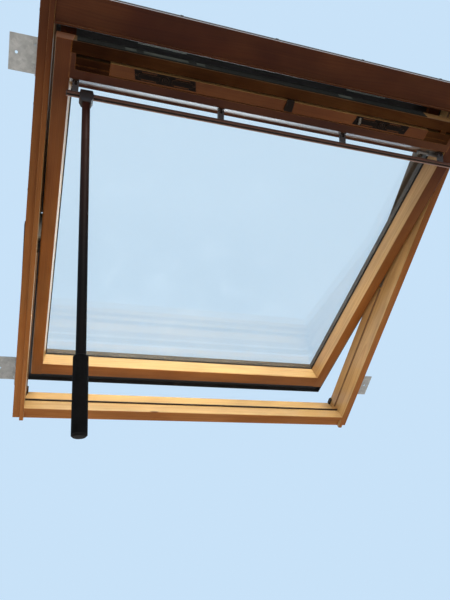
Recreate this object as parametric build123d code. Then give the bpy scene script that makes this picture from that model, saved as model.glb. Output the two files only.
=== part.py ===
from build123d import *

import math
import os

# Centre-pivot roof window, open as in use, with a control bar at the top of the sash and a rod hung on it.
# Window axes: x to the right seen from inside, y up the slope, depth outward from the frame's room face.
# Sash axes: the same, with y from the sash's lower edge and depth from the sash's room face.
# The finished part stands as built into a roof: +Z up, the room on the -Y side.

# Frame
frame_width = 1140.0
frame_height = 1180.0
frame_depth = 110.0
roof_pitch = 30.0
jamb_thickness = 32.0
lining_side = 20.0
lining_bottom = 35.0
lining_top = 65.0
lining_rebate = 14.0
visible_strip = 12.0
sill_fall = 6.0
sill_step_depth = 46.0
sill_step_drop = 13.5
sill_outer_fall = 3.5
head_strip = 4.5
head_slope_depth = 60.0
head_slope_rise = 9.5
head_lip_thickness = 12.0
head_lip_height = 35.0
head_lip_end_gap = 13.0
head_lip_block = 35.0
jamb_seal_depth = 66.0
jamb_seal_height = 6.0
jamb_seal_reach = 3.0
corner_rubber_height = 10.0
bush_wall = 2.0

# Lock
strike_strip_end_gap = 70.0
strike_strip_thickness = 2.0
strike_from_strip_end = 75.0
strike_length = 120.0
strike_hook = 20.0
strike_thickness = 3.0
lock_length = 190.0
lock_height = 13.0
lock_slot_length = 120.0

# Sash
sash_gap = 7.0
sash_thickness = 76.0
stile_width = 35.0
stile_sight = 40.4
bottom_rail_width = 50.5
bottom_rail_sight = 41.8
top_rail_width = 81.0
top_rail_sight = 117.3
top_ledge = 6.0
top_ledge_thickness = 2.0
edge_round = 4.0
sash_seal_depth = 47.0
sash_seal_height = 6.0
sash_seal_reach = 2.5
closed_recess = 60.0
closed_bottom = 1.0
closed_top = 63.0
open_angle = 13.1

# Glazing
glass_seat_depth = 52.0
gasket_thickness = 1.8
pane_thickness = 4.0
spacer_thickness = 16.0
glass_bite = 8.0
glass_edge_gap = 3.0
spacer_inset = 3.0
spacer_width = 8.0

# Pivot hinges
pivot_offset = 55.0
moon_radius = 33.0
hinge_plate = 3.0
hinge_length = 104.0
cradle_wall = 5.5
tongue_height = 2.0
tongue_thickness = 2.0
running_gap = 0.3

# Ventilation slot and flap
cap_rail_height = 26.0
cap_rail_depth = 34.0
slot_height = 6.0
lower_band = 20.0
flap_thickness = 17.0
flap_recess_depth = 20.0
flap_recess_end = 9.0
flap_end_block = 74.0
flap_pin_radius = 1.5
fitting_length = 147.0
fitting_height = 23.0
fitting_thickness = 1.5
fitting_right_x = 275.0
fitting_left_x = -288.0
fitting_slant = 6.0
fitting_pad_length = 48.0
fitting_pad_height = 2.5
fitting_slot_length = 34.0
fitting_slot_width = 2.6
fitting_boss_radius = 8.0
rivet_radius = 3.0
end_block_recess = 1.5
end_block_line = 9.0
end_block_groove = 1.2
slot_block_from_end = 20.0
slot_block_length = 15.0
catch_x = 17.0
catch_width = 22.0
catch_height = 29.0
catch_thickness = 4.5

# Control bar
bar_length = 1015.0
bar_middle_x = 8.5
bar_height = 12.6
bar_thickness = 9.0
bar_corner = 2.5
bar_groove_width = 4.0
bar_groove_depth = 2.5
bar_down = 108.0
bar_standoff = 18.0
bar_axis_down = 9.0
bar_axis_above = 7.5
bracket_width = 14.0
bracket_thickness = 8.6
bracket_base_start = 3.0
bracket_base_length = 18.0
lug_width = 6.0
lug_foot = 2.0
lug_height = 12.0
eye_radius = 4.8
bracket_from_left_end = 17.0
bracket_from_right_end = 30.0
bracket_left_x = -143.0
bracket_right_x = 186.0
bar_pin_radius = 2.0

# Rod
rod_from_bar_end = 42.0
rod_radius = 8.8
rod_wall = 1.4
rod_length = 774.0
rod_lean = 1.7
grip_radius = 12.8
grip_length = 138.0
hook_width = 30.0
hook_top_width = 24.0
hook_shoulder = 12.0
hook_wall = 5.0
hook_neck = 27.0
end_cap_reach = 15.0
end_cap_chamfer = 2.5

# Barrel bolt
bolt_radius = 4.0
bolt_travel = 18.0
bolt_length = 98.0
bolt_down = 103.0
bolt_depth = 24.0
bolt_end_gap = 1.0
guide_length = 29.0
guide_from_tip = 38.0
guide_wall = 2.0
guide_flange = 1.5

# Covers of painted sheet on the weather side
sheet = 1.5
cap_return = 22.0
hood_return = 18.0
hood_step = 2.5
hood_clearance = 7.0
cover_overhang = 7.0
cover_skirt = 98.0
cover_lift = 3.0
hood_reach = 55.0
cover_break = 30.0

# Installation brackets
bracket_plate = 2.5
bracket_length = 80.0
bracket_leg = 30.0
bracket_flange = 62.0
bracket_depth = 60.0
bracket_hole_radius = 3.5
bracket_from_end = 150.0
bracket_hole_from_edge = 16.0

# Places worked out from the sizes
half_frame = frame_width / 2
half_open = half_frame - jamb_thickness
half_sash = half_open - sash_gap
sash_height = frame_height - lining_bottom - closed_bottom - closed_top
frame_bottom = -lining_bottom
frame_top = frame_bottom + frame_height
lining_top_line = frame_top - lining_top
head_edge = lining_top_line - head_strip
head_face = head_edge + head_slope_rise
lip_depth = frame_depth - head_lip_thickness
pivot_y = frame_bottom + frame_height / 2
pivot_depth = closed_recess + pivot_offset
pivot_up = pivot_y - closed_bottom
stile_inner = half_sash - stile_width
glass_wall = glass_bite + glass_edge_gap
glass_half = half_sash - stile_sight + glass_bite
glass_low = bottom_rail_sight - glass_bite
glass_high = sash_height - top_rail_sight + glass_bite
pane_depth = glass_seat_depth + gasket_thickness
outer_pane_depth = pane_depth + pane_thickness + spacer_thickness
glass_top_depth = outer_pane_depth + pane_thickness
cover_depth = glass_top_depth + gasket_thickness + sheet / 2
slot_top = sash_height - cap_rail_height
flap_top = slot_top - slot_height
flap_bottom = sash_height - top_rail_width + lower_band
rail_edge = sash_height - top_rail_width
rebate_floor = sash_height - closed_bottom - head_lip_height
rebate_depth = lip_depth - closed_recess - 2.0
flap_axis_y = flap_bottom + running_gap + edge_round
flap_axis_depth = edge_round
bar_y = sash_height - bar_down
bar_depth = -bar_standoff
bolt_y = sash_height - bolt_down
bar_reach = math.hypot(bar_height / 2 - bar_corner, bar_thickness / 2 - bar_corner) + bar_corner
hook_bore = bar_reach + running_gap


def outline(corners):
    """A closed flat outline from (a, b) or (a, b, corner radius)."""
    points = [(corner[0], corner[1]) for corner in corners]
    radii = [corner[2] if len(corner) > 2 else 0 for corner in corners]
    return make_face(FilletPolyline(*points, radius=radii, close=True))


def flip(corners):
    """Turns depths, which grow outward, into z, which points to the room."""
    return [(corner[0], -corner[1], *corner[2:]) for corner in corners]


def along_x(corners, x_from, x_to):
    """Section given as (y, depth), run along x."""
    plane = Plane(origin=(x_from, 0, 0), x_dir=(0, 1, 0), z_dir=(1, 0, 0))
    return extrude(plane * outline(flip(corners)), amount=x_to - x_from, dir=(1, 0, 0))


def along_y(corners, y_from, y_to):
    """Section given as (x, depth), run along y."""
    plane = Plane(origin=(0, y_from, 0), x_dir=(1, 0, 0), z_dir=(0, -1, 0))
    return extrude(plane * outline(flip(corners)), amount=y_to - y_from, dir=(0, 1, 0))


def outward(corners, depth_from, depth_to):
    """Outline given as (x, y), run outward between two depths."""
    plane = Plane(origin=(0, 0, -depth_to))
    return extrude(plane * outline(corners), amount=depth_to - depth_from, dir=(0, 0, 1))


def block(x_range, y_range, depth_range):
    """A plain box between two values on each axis."""
    middle = [(low + high) / 2 for low, high in (x_range, y_range, depth_range)]
    sizes = [high - low for low, high in (x_range, y_range, depth_range)]
    return Pos(middle[0], middle[1], -middle[2]) * Box(*sizes)


def rod_along_x(radius, x_from, x_to, y, depth):
    """A round bar along x."""
    return Pos((x_from + x_to) / 2, y, -depth) * Rot(Y=90) * Cylinder(radius, x_to - x_from)


def folded(path, thickness):
    """Corners of a bent sheet's section, from the path of its middle line."""
    left, right = [], []
    last = len(path) - 1
    for i, (a, b) in enumerate(path):
        before = math.atan2(b - path[max(i - 1, 0)][1], a - path[max(i - 1, 0)][0])
        after = math.atan2(path[min(i + 1, last)][1] - b, path[min(i + 1, last)][0] - a)
        before = after if i == 0 else before
        after = before if i == last else after
        turn = (after - before) / 2
        reach = thickness / 2 / math.cos(turn)
        normal = (before + after) / 2 + math.pi / 2
        left.append((a + reach * math.cos(normal), b + reach * math.sin(normal)))
        right.append((a - reach * math.cos(normal), b - reach * math.sin(normal)))
    return left + right[::-1]


def mirrored(shape):
    """The same piece on the other side of the window."""
    return mirror(shape, about=Plane.YZ)


def ring(half_x, y_range, width, depth_range):
    """A flat rectangular ring with a given band width."""
    low, high = y_range
    whole = block((-half_x, half_x), (low, high), depth_range)
    depth_low, depth_high = depth_range
    hole = block(
        (width - half_x, half_x - width), (low + width, high - width), (depth_low - 1, depth_high + 1)
    )
    return whole - hole


# Frame: two full-height jambs with the head and the sill between them
jamb_section = [
    (half_open, 0, 3),
    (half_open + visible_strip, 0, 1),
    (half_open + visible_strip, lining_rebate),
    (half_frame, lining_rebate),
    (half_frame, frame_depth),
    (half_open, frame_depth),
]
jamb_right = along_y(jamb_section, frame_bottom, frame_top)
hinge_pocket = block(
    (half_open - 1, half_open + hinge_plate),
    (pivot_y - hinge_length / 2, pivot_y + hinge_length / 2),
    (pivot_depth - moon_radius - 14, frame_depth + 1),
)
jamb_right -= hinge_pocket
jamb_left = mirrored(jamb_right)

sill_inner = visible_strip - sill_fall
sill_floor = sill_inner - sill_step_drop
sill_section = [
    (frame_bottom, lining_rebate),
    (0, lining_rebate),
    (0, 0, 1),
    (visible_strip, 0, 3),
    (sill_inner, sill_step_depth, 2),
    (sill_floor, sill_step_depth + 1),
    (sill_floor - sill_outer_fall, frame_depth, 2),
    (frame_bottom, frame_depth),
]
sill = along_x(sill_section, -half_open, half_open)
sill_gasket_section = [
    (sill_floor + 0.3, sill_step_depth + 1.3),
    (sill_inner - 2, sill_step_depth + 1.3),
    (sill_inner - 2, sill_step_depth + 4, 1),
    (sill_floor + 0.3, sill_step_depth + 6, 1),
]
sill_gasket = along_x(sill_gasket_section, -half_open, half_open)

head_section = [
    (lining_top_line, lining_rebate),
    (lining_top_line, 0, 1),
    (head_edge, 0, 2),
    (head_face, head_slope_depth),
    (head_face, lip_depth),
    (head_face - head_lip_height, lip_depth, 1),
    (head_face - head_lip_height, frame_depth, 1),
    (frame_top, frame_depth),
    (frame_top, lining_rebate),
]
lip_outer = half_open - head_lip_end_gap
lip_inner = lip_outer - head_lip_block
lip_space = (head_face - head_lip_height - 1, head_face)
lip_cut = (lip_depth - 1, frame_depth + 1)
head = along_x(head_section, -half_open, half_open)
head -= block((-lip_inner, lip_inner), lip_space, lip_cut)
for side in (-1, 1):
    ends = sorted((side * lip_outer, side * (half_open + 1)))
    head -= block(tuple(ends), lip_space, lip_cut)

jamb_seal_section = [
    (half_open - jamb_seal_reach, jamb_seal_depth + 1, 1),
    (half_open, jamb_seal_depth),
    (half_open, jamb_seal_depth + jamb_seal_height),
    (half_open - jamb_seal_reach, jamb_seal_depth + jamb_seal_height - 1, 1),
]
seal_hinge_gap = hinge_length / 2 + jamb_seal_height
jamb_seal_low = along_y(jamb_seal_section, sill_inner + 2, pivot_y - seal_hinge_gap)
jamb_seal_high = along_y(jamb_seal_section, pivot_y + seal_hinge_gap, head_face - 2)
jamb_gaskets = Compound(
    children=[jamb_seal_low, jamb_seal_high, mirrored(jamb_seal_low), mirrored(jamb_seal_high)]
)

corner_block = outward(
    [
        (half_sash + 1, sill_floor - sill_outer_fall + 1),
        (half_open, sill_floor - sill_outer_fall + 1),
        (half_open, 14, 1),
        (half_sash + 1, 8, 2),
    ],
    frame_depth - corner_rubber_height,
    frame_depth + 2,
)
corner_rubbers = Compound(children=[corner_block, mirrored(corner_block)])

# Lock on the head: a strip with two strikes, and its partner on the sash
strike_strip_face = head_face - strike_strip_thickness
strip_half = lip_inner - strike_strip_end_gap
strike_strip = block(
    (-strip_half, strip_half),
    (strike_strip_face, head_face),
    (lip_depth, frame_depth),
)
strike_low = head_face - strike_hook
strike_room_side = lip_depth + 2
strike_roof_side = lip_depth + 9
strike_section = [
    (strike_strip_face, lip_depth + 1),
    (strike_strip_face, strike_roof_side),
    (strike_low, strike_roof_side, 2),
    (strike_low, strike_room_side, 2),
    (strike_low + strike_thickness, strike_room_side),
    (strike_low + strike_thickness, strike_roof_side - 2.5),
    (strike_strip_face - 2.5, strike_roof_side - 2.5),
    (strike_strip_face - 2.5, lip_depth + 1),
]
strike_plate = strike_strip
strike_middle = strip_half - strike_from_strip_end - strike_length / 2
for strike_x in (-strike_middle, strike_middle):
    strike_plate += along_x(strike_section, strike_x - strike_length / 2, strike_x + strike_length / 2)

# Pivot hinge: a half-moon on the sash turns in a half-round cradle on the jamb
plate_room_edge = pivot_depth - moon_radius - cradle_wall - 7
hinge_half = hinge_length / 2
frame_plate = along_y(
    [
        (half_open, plate_room_edge),
        (half_open + hinge_plate, plate_room_edge),
        (half_open + hinge_plate, pivot_depth),
        (half_open, pivot_depth),
    ],
    pivot_y - hinge_half + 1,
    pivot_y + hinge_half - 1,
)


def half_turn(corners, y, depth):
    """A section given as (x, radius), turned half round the pivot on its room side."""
    profile = make_face(Polyline(*corners, close=True))
    turned = revolve(Plane.XY * profile, Axis.X, revolution_arc=180)
    return Pos(0, y, -depth) * turned


moon_face = half_open - running_gap
cradle_inner = moon_radius + running_gap
groove = tongue_height + 0.2
cradle_outer = cradle_inner + groove + cradle_wall - 2
tongue_middle = (half_sash + moon_face) / 2 + 0.5
groove_half = tongue_thickness / 2 + running_gap
cradle_profile = [
    (half_sash + 1.2, cradle_inner),
    (tongue_middle - groove_half, cradle_inner),
    (tongue_middle - groove_half, cradle_inner + groove),
    (tongue_middle + groove_half, cradle_inner + groove),
    (tongue_middle + groove_half, cradle_inner),
    (half_open, cradle_inner),
    (half_open, cradle_outer),
    (half_sash + 1.2, cradle_outer),
]
moon_profile = [
    (half_sash, 0),
    (half_sash, moon_radius),
    (tongue_middle - tongue_thickness / 2, moon_radius),
    (tongue_middle - tongue_thickness / 2, moon_radius + tongue_height),
    (tongue_middle + tongue_thickness / 2, moon_radius + tongue_height),
    (tongue_middle + tongue_thickness / 2, moon_radius),
    (moon_face, moon_radius),
    (moon_face, 0),
]
frame_hinge_right = frame_plate + half_turn(cradle_profile, pivot_y, pivot_depth)
frame_hinge_left = mirrored(frame_hinge_right)

# Bush in the right jamb that takes the barrel bolt when the sash is shut
bush_y = closed_bottom + bolt_y
bush_depth = closed_recess + bolt_depth
bush_outer = bolt_radius + bush_wall
bush_end = half_sash - bolt_end_gap + bolt_travel + 2 * bush_wall
bolt_bush = rod_along_x(bush_outer, half_open, bush_end, bush_y, bush_depth)
jamb_right -= bolt_bush
bolt_bush -= rod_along_x(bolt_radius + 0.5, half_open - 1, bush_end - bush_wall, bush_y, bush_depth)

# Weather covers on the frame
jamb_cap_path = [
    (half_open + hinge_plate + 2, frame_depth + sheet / 2),
    (half_frame + sheet / 2, frame_depth + sheet / 2),
    (half_frame + sheet / 2, frame_depth - cap_return),
]
jamb_cap_right = along_y(folded(jamb_cap_path, sheet), frame_bottom + 2, frame_top)
jamb_cap_left = mirrored(jamb_cap_right)

hood_depth = closed_recess + cover_depth + hood_clearance
side_hood_path = [
    (half_sash - 12, hood_depth - hood_step),
    (half_frame + 3 * sheet / 2, hood_depth - hood_step),
    (half_frame + 3 * sheet / 2, frame_depth - hood_return),
]
side_hood_right = along_y(folded(side_hood_path, sheet), pivot_y + cover_break, frame_top - 2)
side_hood_left = mirrored(side_hood_right)

head_hood_path = [
    (head_face - hood_reach, hood_depth),
    (frame_top + sheet / 2, hood_depth),
    (frame_top + sheet / 2, frame_depth - hood_return),
]
hood_half = half_frame + 2 * sheet
head_hood = along_x(folded(head_hood_path, sheet), -hood_half, hood_half)

sill_cover_path = [
    (sill_floor - sill_outer_fall - 3, frame_depth + sheet / 2),
    (frame_bottom - 10, frame_depth + sheet / 2),
    (frame_bottom - 14, frame_depth - 8),
]
sill_cover = along_x(folded(sill_cover_path, sheet), -half_open, half_open)

# Installation brackets on the jambs
bracket_path = [
    (half_frame + bracket_plate / 2, bracket_depth - bracket_leg),
    (half_frame + bracket_plate / 2, bracket_depth - bracket_plate / 2),
    (half_frame + bracket_flange, bracket_depth - bracket_plate / 2),
]
bracket_hole_x = half_frame + bracket_flange - bracket_hole_from_edge
bracket_middles = (frame_bottom + bracket_from_end, frame_top - bracket_from_end)


def bracket_at(middle):
    """An angle bracket on the right jamb, with one hole in its flange for the roof screw."""
    low, high = middle - bracket_length / 2, middle + bracket_length / 2
    angle = along_y(folded(bracket_path, bracket_plate), low, high)
    return angle - Pos(bracket_hole_x, middle, -bracket_depth) * Cylinder(bracket_hole_radius, bracket_leg)


brackets = []
for middle in bracket_middles:
    angle = bracket_at(middle)
    brackets += [angle, mirrored(angle)]

# Sash woodwork: full-height stiles, rails coped to them
stile_section = [
    (half_sash, 0, edge_round),
    (half_sash - stile_width, 0, edge_round),
    (half_sash - stile_sight, glass_seat_depth),
    (half_sash - stile_sight + glass_wall, glass_seat_depth),
    (half_sash - stile_sight + glass_wall, sash_thickness),
    (half_sash, sash_thickness, 1),
]
stile_right = along_y(stile_section, 0, sash_height)
stile_right -= block(
    (stile_inner - 10, half_sash + 1), (rebate_floor, sash_height + 1), (rebate_depth, sash_thickness + 1)
)
stile_left = mirrored(stile_right)

bottom_rail_section = [
    (0, 0, edge_round),
    (bottom_rail_width, 0, edge_round),
    (bottom_rail_sight, glass_seat_depth),
    (bottom_rail_sight - glass_wall, glass_seat_depth),
    (bottom_rail_sight - glass_wall, sash_thickness),
    (0, sash_thickness, 1),
]
top_rail_section = [
    (rail_edge, 0, edge_round),
    (slot_top, 0),
    (slot_top, cap_rail_depth),
    (flap_top, cap_rail_depth),
    (rebate_floor, rebate_depth),
    (rebate_floor, sash_thickness, 1),
    (sash_height - top_rail_sight + glass_wall, sash_thickness),
    (sash_height - top_rail_sight + glass_wall, glass_seat_depth),
    (sash_height - top_rail_sight, glass_seat_depth),
    (sash_height - top_rail_sight, glass_seat_depth - top_ledge_thickness),
    (sash_height - top_rail_sight + top_ledge, glass_seat_depth - top_ledge_thickness),
]
cap_rail_section = [
    (slot_top, 0, 1.5),
    (sash_height, 0, edge_round),
    (sash_height, cap_rail_depth, 1),
    (slot_top, cap_rail_depth),
]
rail_half = half_sash - stile_sight + glass_wall
recess_half = stile_inner - flap_recess_end
top_rail = along_x(top_rail_section, -rail_half, rail_half)
top_rail -= block((-recess_half, recess_half), (flap_bottom, slot_top + 1), (-1, flap_recess_depth))
top_rail -= block((-recess_half, recess_half), (flap_top, slot_top + 1), (-1, cap_rail_depth + 1))
rails = [
    along_x(bottom_rail_section, -rail_half, rail_half),
    top_rail,
    along_x(cap_rail_section, -rail_half, rail_half),
]
bottom_rail, top_rail, cap_rail = [rail - stile_left - stile_right for rail in rails]

# Glazing: two panes held apart by a spacer, between an inner and an outer gasket
glass_span = (glass_low, glass_high)
inner_pane = block((-glass_half, glass_half), glass_span, (pane_depth, pane_depth + pane_thickness))
outer_pane = block((-glass_half, glass_half), glass_span, (outer_pane_depth, glass_top_depth))
spacer = ring(
    glass_half - spacer_inset,
    (glass_low + spacer_inset, glass_high - spacer_inset),
    spacer_width,
    (pane_depth + pane_thickness, outer_pane_depth),
)
inner_gasket = ring(glass_half, glass_span, glass_bite + 1, (glass_seat_depth, pane_depth))
outer_gasket = ring(
    glass_half, glass_span, glass_bite, (glass_top_depth, glass_top_depth + gasket_thickness)
)

# Weather covers on the sash, wide below the pivot and narrow above it
wood_top = sash_thickness + sheet / 2
skirt_depth = frame_depth - closed_recess + 7
cover_half = half_frame + cover_overhang
low_cover_path = [
    (glass_half - glass_bite, cover_depth),
    (glass_half + glass_edge_gap, cover_depth),
    (half_sash, wood_top),
    (cover_half, wood_top - cover_lift),
    (cover_half, skirt_depth),
]
bottom_cover_low = -cover_skirt
side_cover_start = bottom_rail_sight + 0.5
low_cover_right = along_y(folded(low_cover_path, sheet), side_cover_start, pivot_up - 2)
low_cover_left = mirrored(low_cover_right)
high_cover_path = low_cover_path[:3]
high_cover_end = sash_height - top_rail_sight - 0.5
high_cover_right = along_y(folded(high_cover_path, sheet), pivot_up - 1.5, high_cover_end)
high_cover_left = mirrored(high_cover_right)
bottom_cover_path = [
    (bottom_rail_sight, cover_depth),
    (bottom_rail_sight - glass_wall, cover_depth),
    (0, wood_top),
    (bottom_cover_low, wood_top - cover_lift),
    (bottom_cover_low, skirt_depth),
]
bottom_cover = along_x(folded(bottom_cover_path, sheet), -cover_half - sheet / 2, cover_half + sheet / 2)
cheek_section = [
    (bottom_rail_sight, cover_depth),
    (bottom_rail_sight, skirt_depth),
    (bottom_cover_low, skirt_depth),
    (bottom_cover_low, wood_top - cover_lift),
    (0, wood_top),
]
cheek = along_x(cheek_section, cover_half - sheet / 2, cover_half + sheet / 2)
bottom_cover += cheek
bottom_cover += mirrored(cheek)
top_cover_path = [
    (sash_height - top_rail_sight, cover_depth),
    (sash_height - top_rail_sight + glass_wall, cover_depth),
    (sash_height - top_rail_sight + glass_wall + 24, wood_top),
    (rebate_floor, wood_top),
]
top_cover = along_x(folded(top_cover_path, sheet), -half_sash, half_sash)

sash_seal_room = sash_seal_depth - sash_seal_height / 2
sash_seal_roof = sash_seal_depth + sash_seal_height / 2
sash_gasket_section = [
    (half_sash, sash_seal_room),
    (half_sash + sash_seal_reach, sash_seal_room + 1, 1),
    (half_sash + sash_seal_reach, sash_seal_roof - 1, 1),
    (half_sash, sash_seal_roof),
]
sash_gasket_low = along_y(sash_gasket_section, 20, pivot_up - hinge_half - 12)
sash_gasket_high = along_y(sash_gasket_section, pivot_up + hinge_half + 12, rebate_floor - 10)
sash_gaskets = Compound(
    children=[sash_gasket_low, sash_gasket_high, mirrored(sash_gasket_low), mirrored(sash_gasket_high)]
)

# Sash halves of the pivot hinges
sash_plate = block(
    (half_sash - hinge_plate, half_sash),
    (pivot_up - hinge_half, pivot_up + hinge_half),
    (pivot_offset - moon_radius, pivot_offset),
)
stile_right -= sash_plate
stile_left -= mirrored(sash_plate)
sash_hinge_right = sash_plate + half_turn(moon_profile, pivot_up, pivot_offset)
sash_hinge_left = mirrored(sash_hinge_right)

# Lock case in the rebate behind the cap rail
lock_case = along_x(
    [
        (rebate_floor, rebate_depth + 3, 1),
        (rebate_floor, rebate_depth + 24, 1),
        (rebate_floor + lock_height, rebate_depth + 20, 2),
        (rebate_floor + lock_height, rebate_depth + 5, 2),
    ],
    -lock_length / 2,
    lock_length / 2,
)
lock_case -= block(
    (-lock_slot_length / 2, lock_slot_length / 2),
    (rebate_floor + lock_height / 2, rebate_floor + lock_height + 1),
    (rebate_depth + 9, rebate_depth + 15),
)

# Ventilation flap between its end blocks
flap_half = recess_half - flap_end_block
flap_section = [
    (flap_bottom + running_gap, 0, edge_round - 0.05),
    (flap_top, 0, 2),
    (flap_top, flap_thickness, 1),
    (flap_bottom + running_gap, flap_thickness, 1),
]
vent_flap = along_x(flap_section, -flap_half + running_gap, flap_half - running_gap)
end_block_top = flap_top - 2
groove_low = flap_bottom + end_block_line
end_block_section = [
    (flap_bottom, end_block_recess, 1),
    (groove_low, end_block_recess),
    (groove_low, end_block_recess + 2 * end_block_groove),
    (groove_low + end_block_groove, end_block_recess + 2 * end_block_groove),
    (groove_low + end_block_groove, end_block_recess),
    (end_block_top, end_block_recess, 2),
    (end_block_top, flap_recess_depth),
    (flap_bottom, flap_recess_depth),
]
end_block = along_x(end_block_section, flap_half, recess_half)
flap_pin = rod_along_x(flap_pin_radius, flap_half - 12, flap_half + 12, flap_axis_y, flap_axis_depth)
end_block -= flap_pin
flap_hole = rod_along_x(flap_pin_radius + 0.05, flap_half - 13, flap_half, flap_axis_y, flap_axis_depth)
vent_flap -= flap_hole
vent_flap -= mirrored(flap_hole)
slot_block_end = recess_half - slot_block_from_end
slot_block = block(
    (slot_block_end - slot_block_length, slot_block_end),
    (end_block_top, slot_top),
    (2 * end_block_recess, flap_recess_depth),
)
flap_end_blocks = Compound(children=[end_block + slot_block, mirrored(end_block)])
flap_pins = Compound(children=[flap_pin, mirrored(flap_pin)])

# Metal fittings on the flap: slotted plate, two raised pads and a riveted boss
fitting_y = (flap_axis_y + flap_top) / 2 + 0.5


def fitting_at(middle, slant):
    """One fitting, its ends slanted by a signed amount."""
    half, rise = fitting_length / 2, fitting_height / 2
    plate_corners = [
        (middle - half + slant, fitting_y - rise, 1),
        (middle + half, fitting_y - rise, 1),
        (middle + half - slant, fitting_y + rise, 1),
        (middle - half, fitting_y + rise, 1),
    ]
    plate = outward(plate_corners, -fitting_thickness, 0)
    face = fitting_thickness + fitting_pad_height
    for side in (-1, 1):
        pad_x = middle + side * half * 0.52
        pad_corners = [
            (pad_x - fitting_pad_length / 2, fitting_y - 6, 3),
            (pad_x + fitting_pad_length / 2, fitting_y - 6, 3),
            (pad_x + fitting_pad_length / 2, fitting_y + 5, 3),
            (pad_x - fitting_pad_length / 2, fitting_y + 5, 3),
        ]
        plate += outward(pad_corners, -face, -fitting_thickness)
        for slot_y in (fitting_y - 8.7, fitting_y + 8.2):
            slot_x_range = (pad_x - fitting_slot_length / 2, pad_x + fitting_slot_length / 2)
            slot_y_range = (slot_y - fitting_slot_width / 2, slot_y + fitting_slot_width / 2)
            plate -= block(slot_x_range, slot_y_range, (-face - 1, 1))
    boss_height = face + 0.5
    plate += Pos(middle, fitting_y, (fitting_thickness + boss_height) / 2) * Cylinder(
        fitting_boss_radius, boss_height - fitting_thickness
    )
    rivet_hole = Pos(middle, fitting_y, boss_height) * Cylinder(rivet_radius, 2 * fitting_pad_height)
    plate -= rivet_hole
    rivet_foot = boss_height - fitting_pad_height
    rivet = Pos(middle, fitting_y, (rivet_foot + boss_height + 0.3) / 2) * Cylinder(
        rivet_radius, boss_height + 0.3 - rivet_foot
    )
    return plate, rivet


fitting_left, rivet_left = fitting_at(fitting_left_x, fitting_slant)
fitting_right, rivet_right = fitting_at(fitting_right_x, -fitting_slant)
fitting_rivets = Compound(children=[rivet_left, rivet_right])
catch_low = flap_axis_y + 0.5
flap_catch = outward(
    [
        (catch_x - catch_width / 2, catch_low, 2),
        (catch_x + catch_width / 2, catch_low, 2),
        (catch_x + catch_width / 2 - 2, catch_low + catch_height, 3),
        (catch_x - catch_width / 2 + 2, catch_low + catch_height, 3),
    ],
    -catch_thickness,
    0,
)

# Control bar on four hinged brackets under the top rail's lower edge
reveal_run = top_rail_sight - top_ledge - top_rail_width
reveal_drop = glass_seat_depth - top_ledge_thickness
reveal_length = math.hypot(reveal_run, reveal_drop)
reveal_y, reveal_z = -reveal_run / reveal_length, -reveal_drop / reveal_length
normal_y, normal_z = reveal_z, -reveal_y


def off_reveal(along, above):
    """(y, depth) at a distance down the top rail's slanted inner face and above it."""
    y = rail_edge + along * reveal_y + above * normal_y
    z = along * reveal_z + above * normal_z
    return (y, -z)


bar_axis_y, bar_axis_depth = off_reveal(bar_axis_down, bar_axis_above)
bar_half = bar_height / 2
bar_section = [
    (bar_y - bar_half, bar_depth - bar_thickness / 2, bar_corner),
    (bar_y - bar_groove_width / 2, bar_depth - bar_thickness / 2),
    (bar_y - bar_groove_width / 2, bar_depth - bar_thickness / 2 + bar_groove_depth),
    (bar_y + bar_groove_width / 2, bar_depth - bar_thickness / 2 + bar_groove_depth),
    (bar_y + bar_groove_width / 2, bar_depth - bar_thickness / 2),
    (bar_y + bar_half, bar_depth - bar_thickness / 2, bar_corner),
    (bar_y + bar_half, bar_depth + bar_thickness / 2, bar_corner),
    (bar_y - bar_half, bar_depth + bar_thickness / 2, bar_corner),
]
bar_left = bar_middle_x - bar_length / 2
bar_right = bar_middle_x + bar_length / 2
control_bar = along_x(bar_section, bar_left, bar_right)
bracket_places = [
    bar_left + bracket_from_left_end,
    bracket_left_x,
    bracket_right_x,
    bar_right - bracket_from_right_end,
]

lever_reach_y, lever_reach_depth = bar_y - bar_axis_y, bar_depth - bar_axis_depth
lever_length = math.hypot(lever_reach_y, lever_reach_depth)
lever_y, lever_depth = lever_reach_y / lever_length, lever_reach_depth / lever_length
lever_half = bracket_thickness / 2


def off_lever(along, across):
    """(y, depth) along the line from the bracket's pin to the bar, and across it."""
    y = bar_axis_y + along * lever_y - across * lever_depth
    depth = bar_axis_depth + along * lever_depth + across * lever_y
    return (y, depth)


lever_section = [
    off_lever(0, eye_radius),
    off_lever(lever_length, lever_half),
    off_lever(lever_length, -lever_half),
    off_lever(0, -eye_radius),
]
fork_depth = eye_radius + 2
fork_section = [
    off_lever(-eye_radius - 1, eye_radius + 1),
    off_lever(fork_depth, eye_radius + 1),
    off_lever(fork_depth, -eye_radius - 1),
    off_lever(-eye_radius - 1, -eye_radius - 1),
]
base_end = bracket_base_start + bracket_base_length
base_section = [
    off_reveal(bracket_base_start, 0),
    off_reveal(bracket_base_start, lug_foot),
    off_reveal(base_end, lug_foot),
    off_reveal(base_end, 0),
]
lug_half = lug_height - bar_axis_above
lug_section = [
    off_reveal(bracket_base_start + 1, lug_foot / 2),
    (*off_reveal(bar_axis_down - lug_half, lug_height), 3),
    (*off_reveal(bar_axis_down + lug_half, lug_height), 3),
    off_reveal(bar_axis_down + 2 * lug_half - 1, lug_foot / 2),
]


def eye(radius, half_width, x):
    """A round boss or bore about the brackets' pin."""
    return rod_along_x(radius, x - half_width, x + half_width, bar_axis_y, bar_axis_depth)


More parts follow.
